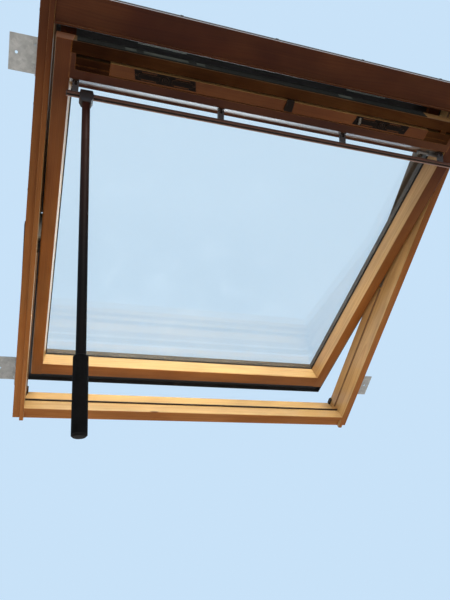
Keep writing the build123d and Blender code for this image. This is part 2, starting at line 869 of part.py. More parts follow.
levers, bases, pins = [], [], []
half_bracket, half_lug = bracket_width / 2, lug_width / 2
for x in bracket_places:
    lever = along_x(lever_section, x - half_bracket, x + half_bracket) + eye(eye_radius, half_bracket, x)
    slot = along_x(fork_section, x - half_lug - running_gap, x + half_lug + running_gap)
    levers.append(lever - slot - control_bar - eye(bar_pin_radius, half_bracket, x))
    base = along_x(base_section, x - half_bracket, x + half_bracket)
    base += along_x(lug_section, x - half_lug, x + half_lug)
    bases.append(base - eye(bar_pin_radius + 0.05, half_bracket, x))
    pins.append(eye(bar_pin_radius, half_bracket, x))
bar_brackets = Compound(children=levers)
bracket_bases = Compound(children=bases)
bracket_pins = Compound(children=pins)

# Barrel bolt on the top rail's slanted face, sliding through the right stile
bolt_tip = half_sash - bolt_end_gap
bolt_tail = bolt_tip - bolt_length
guide_range = (bolt_tip - guide_from_tip - guide_length, bolt_tip - guide_from_tip)
barrel_bolt = rod_along_x(bolt_radius, bolt_tail, bolt_tip, bolt_y, bolt_depth)
barrel_bolt = chamfer(barrel_bolt.edges().sort_by(Axis.X)[-1], 1.5)
barrel_bolt += rod_along_x(bolt_radius + 2, bolt_tail, bolt_tail + 6, bolt_y, bolt_depth)
bolt_bore = rod_along_x(bolt_radius + 0.05, guide_range[0] - 1, half_sash + 1, bolt_y, bolt_depth)
stile_right -= bolt_bore
bolt_along = (bolt_y - rail_edge) * reveal_y - bolt_depth * reveal_z
bolt_above = (bolt_y - rail_edge) * normal_y - bolt_depth * normal_z
guide_half = bolt_radius + guide_wall
guide_foot = guide_half + 2 * guide_flange
guide_section = [
    (*off_reveal(bolt_along - guide_foot, 0), 0),
    (*off_reveal(bolt_along - guide_foot, guide_flange), 1),
    (*off_reveal(bolt_along - guide_half, guide_flange), 0),
    (*off_reveal(bolt_along - guide_half, bolt_above + guide_half), bolt_radius),
    (*off_reveal(bolt_along + guide_half, bolt_above + guide_half), bolt_radius),
    (*off_reveal(bolt_along + guide_half, guide_flange), 0),
    (*off_reveal(bolt_along + guide_foot, guide_flange), 1),
    (*off_reveal(bolt_along + guide_foot, 0), 0),
]
bolt_guide = along_x(guide_section, *guide_range) - bolt_bore

# Rod: a hook over the bar, a tube, a foam grip and an end cap, hanging straight down
hook_outer = hook_bore + hook_wall
hook_side = [
    (-hook_outer, -3, 3),
    (-hook_outer + 1, hook_outer - 2, 5),
    (2, hook_outer + 1, 5),
    (hook_outer - 1, hook_outer - 4, 4),
    (hook_outer + 1, 2, 1),
    (hook_bore * 0.2, 1, 0),
    (hook_bore * 0.2, -1, 0),
    (hook_outer + 1, -4, 1),
    (hook_outer - 2, -hook_neck + 6, 3),
    (rod_radius + 1, -hook_neck, 1),
    (-rod_radius - 1, -hook_neck, 1),
    (-hook_outer + 1, -hook_neck + 8, 3),
]
hook_plane = Plane(origin=(-hook_width / 2, 0, 0), x_dir=(0, 1, 0), z_dir=(1, 0, 0))
rod_hook = extrude(hook_plane * outline(hook_side), amount=hook_width, dir=(1, 0, 0))
hook_front = [
    (-hook_width / 2, -2),
    (-hook_top_width / 2, hook_outer + 2),
    (hook_top_width / 2, hook_outer + 2),
    (hook_width / 2, -2),
    (hook_width / 2, -hook_shoulder),
    (rod_radius + 1, -hook_neck - 1),
    (-rod_radius - 1, -hook_neck - 1),
    (-hook_width / 2, -hook_shoulder),
]
front_plane = Plane(origin=(0, 30, 0), x_dir=(1, 0, 0), z_dir=(0, -1, 0))
rod_hook &= extrude(front_plane * outline(hook_front), amount=60, dir=(0, -1, 0))
rod_hook -= Rot(Y=rod_lean + 90) * Cylinder(hook_bore, hook_width + 4)
rod_bore = rod_radius - rod_wall
rod_hook += Pos(0, 0, -hook_neck - 9) * Cylinder(rod_bore, 20)
tube_end = rod_length - 6
tube_length = tube_end - hook_neck
rod_tube = Cylinder(rod_radius, tube_length) - Cylinder(rod_bore, tube_length)
rod_tube = Pos(0, 0, -hook_neck - tube_length / 2) * rod_tube
grip_low = -rod_length + 4
grip_top = grip_low + grip_length - 4
rod_grip = Pos(0, 0, (grip_low + grip_top) / 2) * Cylinder(grip_radius, grip_top - grip_low)
rod_grip = chamfer(rod_grip.edges().sort_by(Axis.Z)[-1], end_cap_chamfer)
rod_grip -= Pos(0, 0, (grip_low + grip_top) / 2) * Cylinder(rod_radius, grip_length + 10)
end_cap_profile = make_face(
    Polyline(
        (0, -rod_length),
        (grip_radius - end_cap_chamfer, -rod_length),
        (grip_radius, -rod_length + end_cap_chamfer),
        (grip_radius, grip_low),
        (rod_radius, grip_low),
        (rod_radius, -tube_end),
        (rod_bore, -tube_end),
        (rod_bore, -tube_end + end_cap_reach),
        (0, -tube_end + end_cap_reach),
        close=True,
    )
)
rod_end_cap = revolve(Plane.XZ * end_cap_profile, Axis.Z)

# Standing the window in the roof slope, and the sash open in its frame
origin_depth = frame_depth / 2
install = Rot(X=180 - roof_pitch) * Pos(0, -frame_bottom, origin_depth)
hang_sash = install * Pos(0, pivot_y, -pivot_depth) * Rot(X=open_angle) * Pos(0, -pivot_up, pivot_offset)
rod_x = bar_left + rod_from_bar_end
bar_point = (hang_sash * Pos(rod_x, bar_y, -bar_depth)).position
hang_rod = Pos(*bar_point) * Rot(Y=-rod_lean)

frame_parts = {
    "jamb_left": jamb_left,
    "jamb_right": jamb_right,
    "sill": sill,
    "head": head,
    "sill_gasket": sill_gasket,
    "jamb_gaskets": jamb_gaskets,
    "corner_rubbers": corner_rubbers,
    "strike_plate": strike_plate,
    "frame_hinge_left": frame_hinge_left,
    "frame_hinge_right": frame_hinge_right,
    "bolt_bush": bolt_bush,
    "jamb_cap_left": jamb_cap_left,
    "jamb_cap_right": jamb_cap_right,
    "side_hood_left": side_hood_left,
    "side_hood_right": side_hood_right,
    "head_hood": head_hood,
    "sill_cover": sill_cover,
    "install_brackets": Compound(children=brackets),
}
sash_parts = {
    "stile_left": stile_left,
    "stile_right": stile_right,
    "bottom_rail": bottom_rail,
    "top_rail": top_rail,
    "cap_rail": cap_rail,
    "inner_pane": inner_pane,
    "outer_pane": outer_pane,
    "glass_spacer": spacer,
    "inner_gasket": inner_gasket,
    "outer_gasket": outer_gasket,
    "low_cover_left": low_cover_left,
    "low_cover_right": low_cover_right,
    "high_cover_left": high_cover_left,
    "high_cover_right": high_cover_right,
    "bottom_cover": bottom_cover,
    "top_cover": top_cover,
    "sash_gaskets": sash_gaskets,
    "sash_hinge_left": sash_hinge_left,
    "sash_hinge_right": sash_hinge_right,
    "lock_case": lock_case,
    "flap_end_blocks": flap_end_blocks,
    "flap_pins": flap_pins,
    "vent_flap": vent_flap,
    "fitting_left": fitting_left,
    "fitting_right": fitting_right,
    "fitting_rivets": fitting_rivets,
    "flap_catch": flap_catch,
    "control_bar": control_bar,
    "bar_brackets": bar_brackets,
    "bracket_bases": bracket_bases,
    "bracket_pins": bracket_pins,
    "barrel_bolt": barrel_bolt,
    "bolt_guide": bolt_guide,
}
rod_parts = {
    "rod_hook": rod_hook,
    "rod_tube": rod_tube,
    "rod_grip": rod_grip,
    "rod_end_cap": rod_end_cap,
}

os.makedirs("parts", exist_ok=True)
for place, parts in ((install, frame_parts), (hang_sash, sash_parts), (hang_rod, rod_parts)):
    for name, shape in parts.items():
        export_step(place * shape, "parts/" + name + ".step")
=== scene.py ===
import math

import bpy
from mathutils import Matrix, Vector


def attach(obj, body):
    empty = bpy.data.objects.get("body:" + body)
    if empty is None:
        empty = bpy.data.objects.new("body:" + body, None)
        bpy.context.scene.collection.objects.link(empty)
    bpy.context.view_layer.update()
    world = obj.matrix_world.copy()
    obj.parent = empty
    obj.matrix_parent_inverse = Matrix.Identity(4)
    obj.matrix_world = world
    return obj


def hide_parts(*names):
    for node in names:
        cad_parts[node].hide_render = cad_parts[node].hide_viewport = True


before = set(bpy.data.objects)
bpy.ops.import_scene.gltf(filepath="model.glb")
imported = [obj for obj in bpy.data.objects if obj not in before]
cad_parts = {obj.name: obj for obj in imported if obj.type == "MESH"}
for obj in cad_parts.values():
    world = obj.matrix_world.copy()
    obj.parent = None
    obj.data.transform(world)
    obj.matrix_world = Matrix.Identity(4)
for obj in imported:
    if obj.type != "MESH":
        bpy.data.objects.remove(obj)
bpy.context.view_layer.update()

# Frame of the window: four planed pine boards, glued and screwed at the corners and
# dipped in a clear satin lacquer that has turned honey brown. The grain runs along each
# board. The arrises are darker, partly as lacquer run thick and partly as painted shade,
# and the room faces, upper parts and end grain carry painted shade too.

# Sizes are in metres and angles in degrees. The frame's own axes are x to the right, y up the
# slope and z into the room.
ROOF_PITCH = 30
LINING_BOTTOM = 0.035
HALF_DEPTH = 0.055
FRAME_TURN = math.radians(180 - ROOF_PITCH)
FRAME_PLACE = Matrix.Rotation(FRAME_TURN, 4, "X") @ Matrix.Translation((0, LINING_BOTTOM, HALF_DEPTH))
FRAME_TILT = -FRAME_TURN

HONEY = (0.66, 0.405, 0.165, 1)
HONEY_LATE = (0.46, 0.215, 0.068, 1)
# Painted shade: the next four colours darken the room faces, the upper parts, the end grain and the arrises;
# the end grain and the arrises also darken for real under the lacquer.
ROOM_SIDE_SHADE = (0.56, 0.32, 0.16, 1)
TOP_SHADE_BROWN = (0.085, 0.026, 0.013)
END_GRAIN_SHADE = (0.13, 0.065, 0.035, 1)
ARRIS_SHADE_AMBER = (0.27, 0.095, 0.024, 1)
DUST_ON_WOOD = (0.42, 0.38, 0.33, 1)
PLAIN_WHITE = (1, 1, 1, 1)
LACQUER_GLOSS = 0.14
ARRIS_WIDTH = 0.0030
ARRIS_SHARE = 0.45
DUST_AMOUNT = 0.35
DUST_SHARE = 0.5


def effect_group(name, inputs, outputs):
    """An empty shader node group with named inputs and outputs."""
    tree = bpy.data.node_groups.new(name, "ShaderNodeTree")
    for label, kind, value in inputs:
        socket = tree.interface.new_socket(name=label, in_out="INPUT", socket_type=kind)
        if value is not None:
            socket.default_value = value
    for label, kind in outputs:
        tree.interface.new_socket(name=label, in_out="OUTPUT", socket_type=kind)
    return tree, tree.nodes.new("NodeGroupInput").outputs, tree.nodes.new("NodeGroupOutput").inputs


def put(tree, kind, settings=None, values=None):
    """Adds a node, sets its options, and sets or links its inputs by name or number."""
    node = tree.nodes.new(kind)
    for key, value in (settings or {}).items():
        setattr(node, key, value)
    for key, value in (values or {}).items():
        if isinstance(value, bpy.types.NodeSocket):
            tree.links.new(value, node.inputs[key])
        else:
            node.inputs[key].default_value = value
    return node


def calc(tree, operation, first, second=0.0, third=0.0, clamp=False):
    """One sum on numbers."""
    settings = {"operation": operation, "use_clamp": clamp}
    return put(tree, "ShaderNodeMath", settings, {0: first, 1: second, 2: third}).outputs[0]


def times(tree, first, second):
    """Two numbers multiplied."""
    return calc(tree, "MULTIPLY", first, second)


def on_vector(tree, operation, values):
    """The outputs of one sum on vectors."""
    return put(tree, "ShaderNodeVectorMath", {"operation": operation}, values).outputs


def blend(tree, share, first, second, how="MIX"):
    """Two colours mixed by a share."""
    settings = {"data_type": "RGBA", "blend_type": how}
    return put(tree, "ShaderNodeMix", settings, {0: share, 6: first, 7: second}).outputs[2]


def between(tree, value, low, high, to_low=0.0, to_high=1.0):
    """A number taken from one range to another, held at its ends."""
    values = {"Value": value, "From Min": low, "From Max": high, "To Min": to_low, "To Max": to_high}
    return put(tree, "ShaderNodeMapRange", {"interpolation_type": "SMOOTHSTEP"}, values).outputs[0]


def noise(tree, vector, scale, detail, rough):
    """Grey noise at so many cells a metre."""
    values = {"Vector": vector, "Scale": scale, "Detail": detail, "Roughness": rough}
    return put(tree, "ShaderNodeTexNoise", None, values).outputs["Fac"]


def stretched(tree, vector, factors):
    """The coordinates made longer or shorter along each axis."""
    return on_vector(tree, "MULTIPLY", {0: vector, 1: factors})[0]


def long_noise(tree, vector, cells, detail, rough):
    """Grey noise with its own number of cells a metre along each axis."""
    return noise(tree, stretched(tree, vector, cells), 1.0, detail, rough)


def parts_of(tree, vector):
    """The three numbers of a vector."""
    return put(tree, "ShaderNodeSeparateXYZ", None, {0: vector}).outputs


def grey(tree, value):
    """A number as a grey colour."""
    return put(tree, "ShaderNodeCombineColor", None, {0: value, 1: value, 2: value}).outputs[0]


def facing(tree):
    """The way that the surface faces in the room, with up as Z."""
    return put(tree, "ShaderNodeNewGeometry").outputs["Normal"]


def make_edge_group():
    """Marks the arrises of a piece, broken up by noise."""
    still_flat = 0.985
    full_arris = 0.86
    tree, given, out = effect_group(
        "Arrises",
        [
            ("Vector", "NodeSocketVector", None),
            ("Reach", "NodeSocketFloat", 0.002),
            ("Breakup", "NodeSocketFloat", 60.0),
        ],
        [("Mask", "NodeSocketFloat")],
    )
    soft = put(tree, "ShaderNodeBevel", {"samples": 4}, {"Radius": given["Reach"]}).outputs[0]
    turn = on_vector(tree, "DOT_PRODUCT", {0: soft, 1: facing(tree)})["Value"]
    edge = between(tree, turn, still_flat, full_arris)
    patchy = noise(tree, given["Vector"], given["Breakup"], detail=5.0, rough=0.6)
    worn = between(tree, patchy, 0.36, 0.62, to_low=0.25)
    tree.links.new(times(tree, edge, worn), out["Mask"])
    return tree


def make_dust_group():
    """Dust that settles on what faces up, thin and cloudy, with finer specks in it."""
    cloud_cells = 9.0
    speck_cells = 420.0
    tree, given, out = effect_group(
        "Settled dust",
        [("Vector", "NodeSocketVector", None), ("Amount", "NodeSocketFloat", 0.5)],
        [("Mask", "NodeSocketFloat")],
    )
    lies = between(tree, parts_of(tree, facing(tree))["Z"], 0.15, 0.95)
    cloud = between(tree, noise(tree, given["Vector"], cloud_cells, detail=6.0, rough=0.62), 0.35, 0.72)
    speck = between(tree, noise(tree, given["Vector"], speck_cells, detail=3.0, rough=0.7), 0.52, 0.78)
    both = calc(tree, "MULTIPLY_ADD", speck, 0.45, times(tree, cloud, 0.55))
    tree.links.new(times(tree, times(tree, lies, both), given["Amount"]), out["Mask"])
    return tree


# Cells a metre along the grain and across it. The drift bends the rings, which change little
# along the board.
DRIFT_CELLS = (1.1, 7.0, 7.0)
FIBRE_CELLS = (7.0, 620.0, 620.0)
STREAK_CELLS = (1.6, 60.0, 60.0)
FIGURE_CELLS = (3.4, 15.0, 15.0)
CANAL_CELLS = (46.0, 1500.0, 1500.0)
KNOT_CELLS = (2.6, 9.0, 9.0)
YEAR_CELLS = 60.0
DRIFT_REACH = (0.0, 0.030, 0.038)
TREE_TAPER = (0.004, 1.0, 1.0)


def make_pine_group():
    """Planed pine with its grain along the first axis: rings, fibres, resin canals, pin knots."""
    late_share = 0.55
    streak_share = 0.34
    knot_share = 0.8
    canal_shade = -0.35
    knot_shade = -0.45
    tree, given, out = effect_group(
        "Pine grain",
        [
            ("Vector", "NodeSocketVector", None),
            ("Early wood", "NodeSocketColor", (0.6, 0.33, 0.13, 1)),
            ("Late wood", "NodeSocketColor", (0.35, 0.15, 0.05, 1)),
            ("Rings", "NodeSocketFloat", 330.0),
        ],
        [("Color", "NodeSocketColor"), ("Gloss", "NodeSocketFloat"), ("Height", "NodeSocketFloat")],
    )
    along = given["Vector"]
    drift = long_noise(tree, along, DRIFT_CELLS, detail=3.0, rough=0.5)
    warp = on_vector(tree, "SCALE", {0: DRIFT_REACH, "Scale": drift})[0]
    bent = on_vector(tree, "ADD", {0: along, 1: warp})[0]
    radius = on_vector(tree, "LENGTH", {0: stretched(tree, bent, TREE_TAPER)})["Value"]
    values = {"W": radius, "Scale": YEAR_CELLS, "Detail": 1.0}
    years = put(tree, "ShaderNodeTexNoise", {"noise_dimensions": "1D"}, values).outputs["Fac"]
    phase = calc(tree, "MULTIPLY_ADD", radius, given["Rings"], times(tree, years, 3.0))
    saw = calc(tree, "FRACT", phase)
    number = calc(tree, "FLOOR", phase)
    year = put(tree, "ShaderNodeTexWhiteNoise", {"noise_dimensions": "1D"}, {"W": number})
    late = times(tree, between(tree, saw, 0.30, 0.90), between(tree, saw, 1.0, 0.93))
    late = times(tree, late, calc(tree, "MULTIPLY_ADD", year.outputs["Value"], 0.75, 0.25))
    fibre = long_noise(tree, along, FIBRE_CELLS, detail=3.0, rough=0.6)
    streak = long_noise(tree, along, STREAK_CELLS, detail=4.0, rough=0.6)
    figure = long_noise(tree, along, FIGURE_CELLS, detail=3.0, rough=0.55)
    canal = long_noise(tree, along, CANAL_CELLS, detail=1.0, rough=0.4)
    canal = between(tree, canal, 0.70, 0.80)
    values = {"Vector": stretched(tree, along, KNOT_CELLS), "Scale": 1.0}
    cells = put(tree, "ShaderNodeTexVoronoi", None, values)
    knot = between(tree, cells.outputs["Distance"], 0.050, 0.020)
    streaky = between(tree, streak, 0.3, 0.75)
    share = calc(tree, "MULTIPLY_ADD", streaky, streak_share, times(tree, late, late_share))
    share = calc(tree, "MULTIPLY_ADD", knot, knot_share, share, clamp=True)
    wood = blend(tree, share, given["Early wood"], given["Late wood"])
    lit = between(tree, figure, 0.25, 0.75, to_low=0.80, to_high=1.16)
    lit = times(tree, lit, between(tree, fibre, 0.25, 0.75, to_low=0.91, to_high=1.07))
    lit = times(tree, lit, calc(tree, "MULTIPLY_ADD", canal, canal_shade, 1.0))
    lit = times(tree, lit, calc(tree, "MULTIPLY_ADD", knot, knot_shade, 1.0))
    tree.links.new(blend(tree, 1.0, wood, grey(tree, lit), "MULTIPLY"), out["Color"])
    gloss = calc(tree, "MULTIPLY_ADD", fibre, 0.14, calc(tree, "MULTIPLY_ADD", late, -0.05, 0.30))
    tree.links.new(gloss, out["Gloss"])
    height = calc(tree, "MULTIPLY_ADD", fibre, 0.5, times(tree, late, 0.35))
    tree.links.new(calc(tree, "MULTIPLY_ADD", canal, -0.6, height), out["Height"])
    return tree


pine_group = make_pine_group()
edge_group = make_edge_group()
dust_group = make_dust_group()


def effect(tree, group, values):
    """The outputs of a shared effect, placed in a material with its own values."""
    return put(tree, "ShaderNodeGroup", {"node_tree": group}, values).outputs


def own_axes(tree, source, tilt, along_slope=False, offset=(0, 0, 0)):
    """Object coordinates or normals turned to the window's or the sash's own axes."""
    found = put(tree, "ShaderNodeTexCoord").outputs[source]
    kind = "VECTOR" if source == "Normal" else "POINT"
    turn = (tilt, 0, math.radians(-90) if along_slope else 0)
    values = {"Vector": found, "Rotation": turn}
    if kind == "POINT":
        values["Location"] = offset
    return put(tree, "ShaderNodeMapping", {"vector_type": kind}, values).outputs[0]


def new_material(name):
    """A new material, with its node tree and its shader."""
    material = bpy.data.materials.new(name)
    material.use_nodes = True
    return material, material.node_tree, material.node_tree.nodes["Principled BSDF"]


def shader_of(material):
    """The material's shader."""
    return material.node_tree.nodes["Principled BSDF"]


def mirrors(material, level):
    """Sets how strongly a finish mirrors what is around it."""
    shader_of(material).inputs["Specular IOR Level"].default_value = level


def pressed_in(tree, height, strength, depth):
    """Presses a height map into the surface."""
    values = {"Strength": strength, "Distance": depth, "Height": height}
    normal = put(tree, "ShaderNodeBump", None, values).outputs[0]
    tree.links.new(normal, tree.nodes["Principled BSDF"].inputs["Normal"])


def pine(name, tilt, along_slope, pith, top_shade=(0.35, 1.30), aside=0.25, coat=0.35, polish=0.16, dark=1.0):
    """Lacquered pine for one board, with painted shade on the room faces and towards the top, and end grain
    and arrises darker, partly as painted shade.
    """
    material, tree, shader = new_material(name)
    vector = own_axes(tree, "Object", tilt, along_slope, pith)
    grain = effect(tree, pine_group, {"Vector": vector, "Early wood": HONEY, "Late wood": HONEY_LATE})
    edge = effect(tree, edge_group, {"Vector": vector, "Reach": ARRIS_WIDTH})["Mask"]
    dust = effect(tree, dust_group, {"Vector": vector, "Amount": DUST_AMOUNT})["Mask"]
    normal = parts_of(tree, own_axes(tree, "Normal", tilt))
    to_room = between(tree, normal["Z"], 0.25, 0.85)
    end_grain = between(tree, calc(tree, "ABSOLUTE", normal["Y" if along_slope else "X"]), 0.75, 0.95)
    slope = parts_of(tree, own_axes(tree, "Object", tilt))["Y"]
    height = between(tree, slope, top_shade[0], top_shade[1])
    cloud = noise(tree, vector, 5.0, detail=3.0, rough=0.55)
    cloudy = between(tree, cloud, 0.2, 0.8, to_low=0.86)
    # Painted shade: faces turned to the room are coloured darker and browner.
    brown = blend(tree, times(tree, to_room, cloudy), PLAIN_WHITE, ROOM_SIDE_SHADE)
    # Painted shade: the wood darkens towards the top, on the room faces most.
    top_shade_share = times(tree, height, calc(tree, "MULTIPLY_ADD", to_room, 1.0 - aside, aside))
    top_shade_colour = (*[part * dark for part in TOP_SHADE_BROWN], 1)
    shaded_wood = blend(tree, times(tree, top_shade_share, cloudy), brown, top_shade_colour)
    # End grain is darker, partly as the real end grain and partly as painted shade.
    shaded_wood = blend(tree, end_grain, shaded_wood, END_GRAIN_SHADE)
    colour = blend(tree, 1.0, grain["Color"], shaded_wood, "MULTIPLY")
    # The arrises are darker, partly as lacquer run thick and partly as painted shade on the rounded edges.
    colour = blend(tree, times(tree, edge, ARRIS_SHARE), colour, ARRIS_SHADE_AMBER)
    colour = blend(tree, times(tree, dust, DUST_SHARE), colour, DUST_ON_WOOD)
    tree.links.new(colour, shader.inputs["Base Color"])
    dull = calc(tree, "MULTIPLY_ADD", to_room, 0.15, times(tree, dust, 0.4))
    tree.links.new(calc(tree, "ADD", grain["Gloss"], dull), shader.inputs["Roughness"])
    bare = calc(tree, "MAXIMUM", times(tree, to_room, 0.9), end_grain)
    lacquer_coat = times(tree, coat, calc(tree, "SUBTRACT", 1.0, bare))
    tree.links.new(lacquer_coat, shader.inputs["Coat Weight"])
    shader.inputs["Coat Roughness"].default_value = polish
    mirrors(material, LACQUER_GLOSS)
    pressed_in(tree, grain["Height"], strength=0.35, depth=0.0004)
    return material


def finish_with(material, *names):
    """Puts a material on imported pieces, in every slot that they have."""
    for name in names:
        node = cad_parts[name]
        if not node.material_slots:
            node.data.materials.append(material)
        for slot in node.material_slots:
            slot.link = "OBJECT"
            slot.material = material


finish_with(pine("Pine, left jamb", FRAME_TILT, True, pith=(0.0, -0.50, -0.03)), "jamb_left")
finish_with(pine("Pine, right jamb", FRAME_TILT, True, pith=(0.4, 0.62, -0.05)), "jamb_right")
finish_with(pine("Pine, sill", FRAME_TILT, False, pith=(0.2, 0.07, 0.10)), "sill")
head_pine = pine("Pine, head", FRAME_TILT, False, pith=(0.7, -1.08, 0.09), top_shade=(0.3, 1.1), aside=0.9)
finish_with(head_pine, "head")

# Sash: two stiles, a bottom rail, a high top rail and the cap rail over the vent slot, of
# the same lacquered pine, tenoned at the corners. Its room faces are painted darker as shade,
# its upper parts, and most of all the top and cap rails, darker still as painted shade, and the
# top rail is lacquered thickly and glossy.

# The sash's own axes are the frame's, turned about the pivots.
SASH_OPEN = 13.1
PIVOT_SLOPE = 0.555
PIVOT_DEPTH = 0.115
SASH_PIVOT_SLOPE = 0.554
SASH_PIVOT_DEPTH = 0.055
SASH_TURN = math.radians(SASH_OPEN)
SASH_PLACE = (
    FRAME_PLACE
    @ Matrix.Translation((0, PIVOT_SLOPE, -PIVOT_DEPTH))
    @ Matrix.Rotation(SASH_TURN, 4, "X")
    @ Matrix.Translation((0, -SASH_PIVOT_SLOPE, SASH_PIVOT_DEPTH))
)
SASH_TILT = -FRAME_TURN - SASH_TURN

left_pine = pine("Pine, left stile", SASH_TILT, True, pith=(0.9, -0.44, 0.10), top_shade=(0.25, 1.15))
finish_with(left_pine, "stile_left")
right_pine = pine("Pine, right stile", SASH_TILT, True, pith=(1.3, 0.57, 0.12), top_shade=(0.15, 1.10))
finish_with(right_pine, "stile_right")
bottom_pine = pine("Pine, bottom rail", SASH_TILT, False, pith=(0.1, 0.05, 0.21), top_shade=(0.2, 0.95))
finish_with(bottom_pine, "bottom_rail")
# The top and cap rails take a darker painted shade towards the top.
top_pine = pine("Pine, top rail", SASH_TILT, False, pith=(0.5, -1.10, 0.19),
                top_shade=(0.3, 0.9), aside=0.9, coat=0.8, polish=0.05, dark=0.7)
finish_with(top_pine, "top_rail")
cap_pine = pine("Pine, cap rail", SASH_TILT, False, pith=(1.1, -1.02, 0.23),
                top_shade=(0.3, 0.9), aside=0.95, dark=0.2)
mirrors(cap_pine, 0.01)
finish_with(cap_pine, "cap_rail", "flap_end_blocks")
flap_pine = pine("Pine, vent flap", SASH_TILT, False, pith=(1.7, -0.95, 0.20), top_shade=(0.5, 1.20))
finish_with(flap_pine, "vent_flap")

# Double glazing: two panes of clear float glass with a perforated, dark coated spacer between
# them, pressed dry into the sash between two rubber strips. Fine dust films the glass.

GLASS_TINT = (0.955, 0.980, 0.985, 1)
GLASS_IOR = 1.5
SPACER_MIDDLE = (0, 0, 0.20296)
HOLES_A_METRE = 250.0
HOLE_ROW = 0.0021
HOLE_SHADE = (0.015, 0.015, 0.015)
GREY_DUST = (0.36, 0.34, 0.31)
GLOSS_SPREAD = 0.08


def in_place(tree):
    """Object coordinates, which lie still on the piece as it moves."""
    return put(tree, "ShaderNodeTexCoord").outputs["Object"]


def surface(name, colour, rough, tone=0.10, scale=30.0, metal=0.0, relief=(900.0, 0.2, 0.0002)):
    """A finish with uneven tone and gloss over a fine relief (cells a metre, strength, depth)."""
    material, tree, shader = new_material(name)
    place = in_place(tree)
    cloud = noise(tree, place, scale, detail=6.0, rough=0.6)
    light = between(tree, cloud, 0.25, 0.75, to_low=1.0 - tone, to_high=1.0 + tone)
    base = blend(tree, 1.0, (*colour, 1), grey(tree, light), "MULTIPLY")
    tree.links.new(base, shader.inputs["Base Color"])
    patchy = noise(tree, place, scale * 3, detail=4.0, rough=0.6)
    gloss = between(tree, patchy, 0.25, 0.75, to_low=rough - GLOSS_SPREAD, to_high=rough + GLOSS_SPREAD)
    tree.links.new(gloss, shader.inputs["Roughness"])
    cells, strength, depth = relief
    pressed_in(tree, noise(tree, place, cells, detail=2.0, rough=0.5), strength=strength, depth=depth)
    shader.inputs["Metallic"].default_value = metal
    return material


def overlay(material, mask, colour, rough=None):
    """Lays another colour over a finish where a mask says so, with its own roughness."""
    tree = material.node_tree
    inputs = shader_of(material).inputs
    below = inputs["Base Color"].links[0].from_socket
    tree.links.new(blend(tree, mask, below, (*colour, 1)), inputs["Base Color"])
    if rough is not None:
        below = inputs["Roughness"].links[0].from_socket
        mixed = put(tree, "ShaderNodeMix", None, {0: mask, 2: below, 3: rough}).outputs[0]
        tree.links.new(mixed, inputs["Roughness"])
    return material


def dusty(material, amount):
    """Lets grey dust settle on what faces up."""
    tree = material.node_tree
    mask = effect(tree, dust_group, {"Vector": in_place(tree), "Amount": amount})["Mask"]
    return overlay(material, mask, GREY_DUST, rough=0.85)


def clear_glass(name):
    """Clear glass that lets lamplight through, with a thin uneven film of dust."""
    material, tree, shader = new_material(name)
    shader.inputs["Base Color"].default_value = GLASS_TINT
    shader.inputs["Transmission Weight"].default_value = 1.0
    shader.inputs["IOR"].default_value = GLASS_IOR
    place = in_place(tree)
    film = between(tree, noise(tree, place, 14.0, detail=5.0, rough=0.6), 0.4, 0.8, to_high=0.05)
    grit = noise(tree, place, 260.0, detail=2.0, rough=0.6)
    speck = between(tree, grit, 0.70, 0.76, to_high=0.25)
    tree.links.new(calc(tree, "ADD", film, speck), shader.inputs["Roughness"])
    through = put(tree, "ShaderNodeBsdfTransparent", None, {0: GLASS_TINT})
    lamp = put(tree, "ShaderNodeLightPath").outputs["Is Shadow Ray"]
    mix = put(tree, "ShaderNodeMixShader", None, {0: lamp, 1: shader.outputs[0], 2: through.outputs[0]})
    tree.links.new(mix.outputs[0], tree.nodes["Material Output"].inputs["Surface"])
    return material


def perforated_spacer():
    """Dark coated strip with two rows of pin holes down the middle of each face, the holes painted darker as
    shade.
    """
    material = surface("Spacer aluminium", (0.020, 0.021, 0.020), 0.5, scale=60.0, metal=0.3)
    tree = material.node_tree
    place = parts_of(tree, own_axes(tree, "Object", SASH_TILT, offset=SPACER_MIDDLE))
    normal = parts_of(tree, own_axes(tree, "Normal", SASH_TILT))
    faces_slope = calc(tree, "GREATER_THAN", calc(tree, "ABSOLUTE", normal["Y"]), 0.7)
    along = put(tree, "ShaderNodeMix", None, {0: faces_slope, 2: place["Y"], 3: place["X"]}).outputs[0]
    step = calc(tree, "SUBTRACT", calc(tree, "FRACT", times(tree, along, HOLES_A_METRE)), 0.5)
    beside = between(tree, calc(tree, "ABSOLUTE", step), 0.19, 0.13)
    from_row = calc(tree, "SUBTRACT", calc(tree, "ABSOLUTE", place["Z"]), HOLE_ROW)
    on_row = between(tree, calc(tree, "ABSOLUTE", from_row), 0.00055, 0.00035)
    # Painted shade: the holes are coloured darker for the shade inside them.
    return overlay(material, times(tree, beside, on_row), HOLE_SHADE, rough=0.8)


finish_with(clear_glass("Float glass"), "inner_pane", "outer_pane")
finish_with(perforated_spacer(), "glass_spacer")
glazing_rubber = dusty(surface("Glazing rubber", (0.010, 0.010, 0.011), 0.62), 0.3)
finish_with(glazing_rubber, "inner_gasket", "outer_gasket")

# Seals: black rubber strips pressed into grooves of the sash, with a wedge of the same rubber
# in each lower corner, and brown ones in the jambs and the sill. The sill's has a soft lip
# that the shut sash rests on, and the black ones bloom grey where the weather reaches.

LIP_HALF = 0.538
ARRIS_ANGLE = 32

seal_rubber = surface("Seal rubber", (0.012, 0.012, 0.013), 0.68, tone=0.3, scale=45.0,
                      relief=(500.0, 0.3, 0.0003))
finish_with(dusty(seal_rubber, 0.4), "corner_rubbers", "sash_gaskets")
jamb_rubber = surface("Brown jamb rubber", (0.20, 0.095, 0.035), 0.6, tone=0.2, scale=45.0)
finish_with(jamb_rubber, "jamb_gaskets")


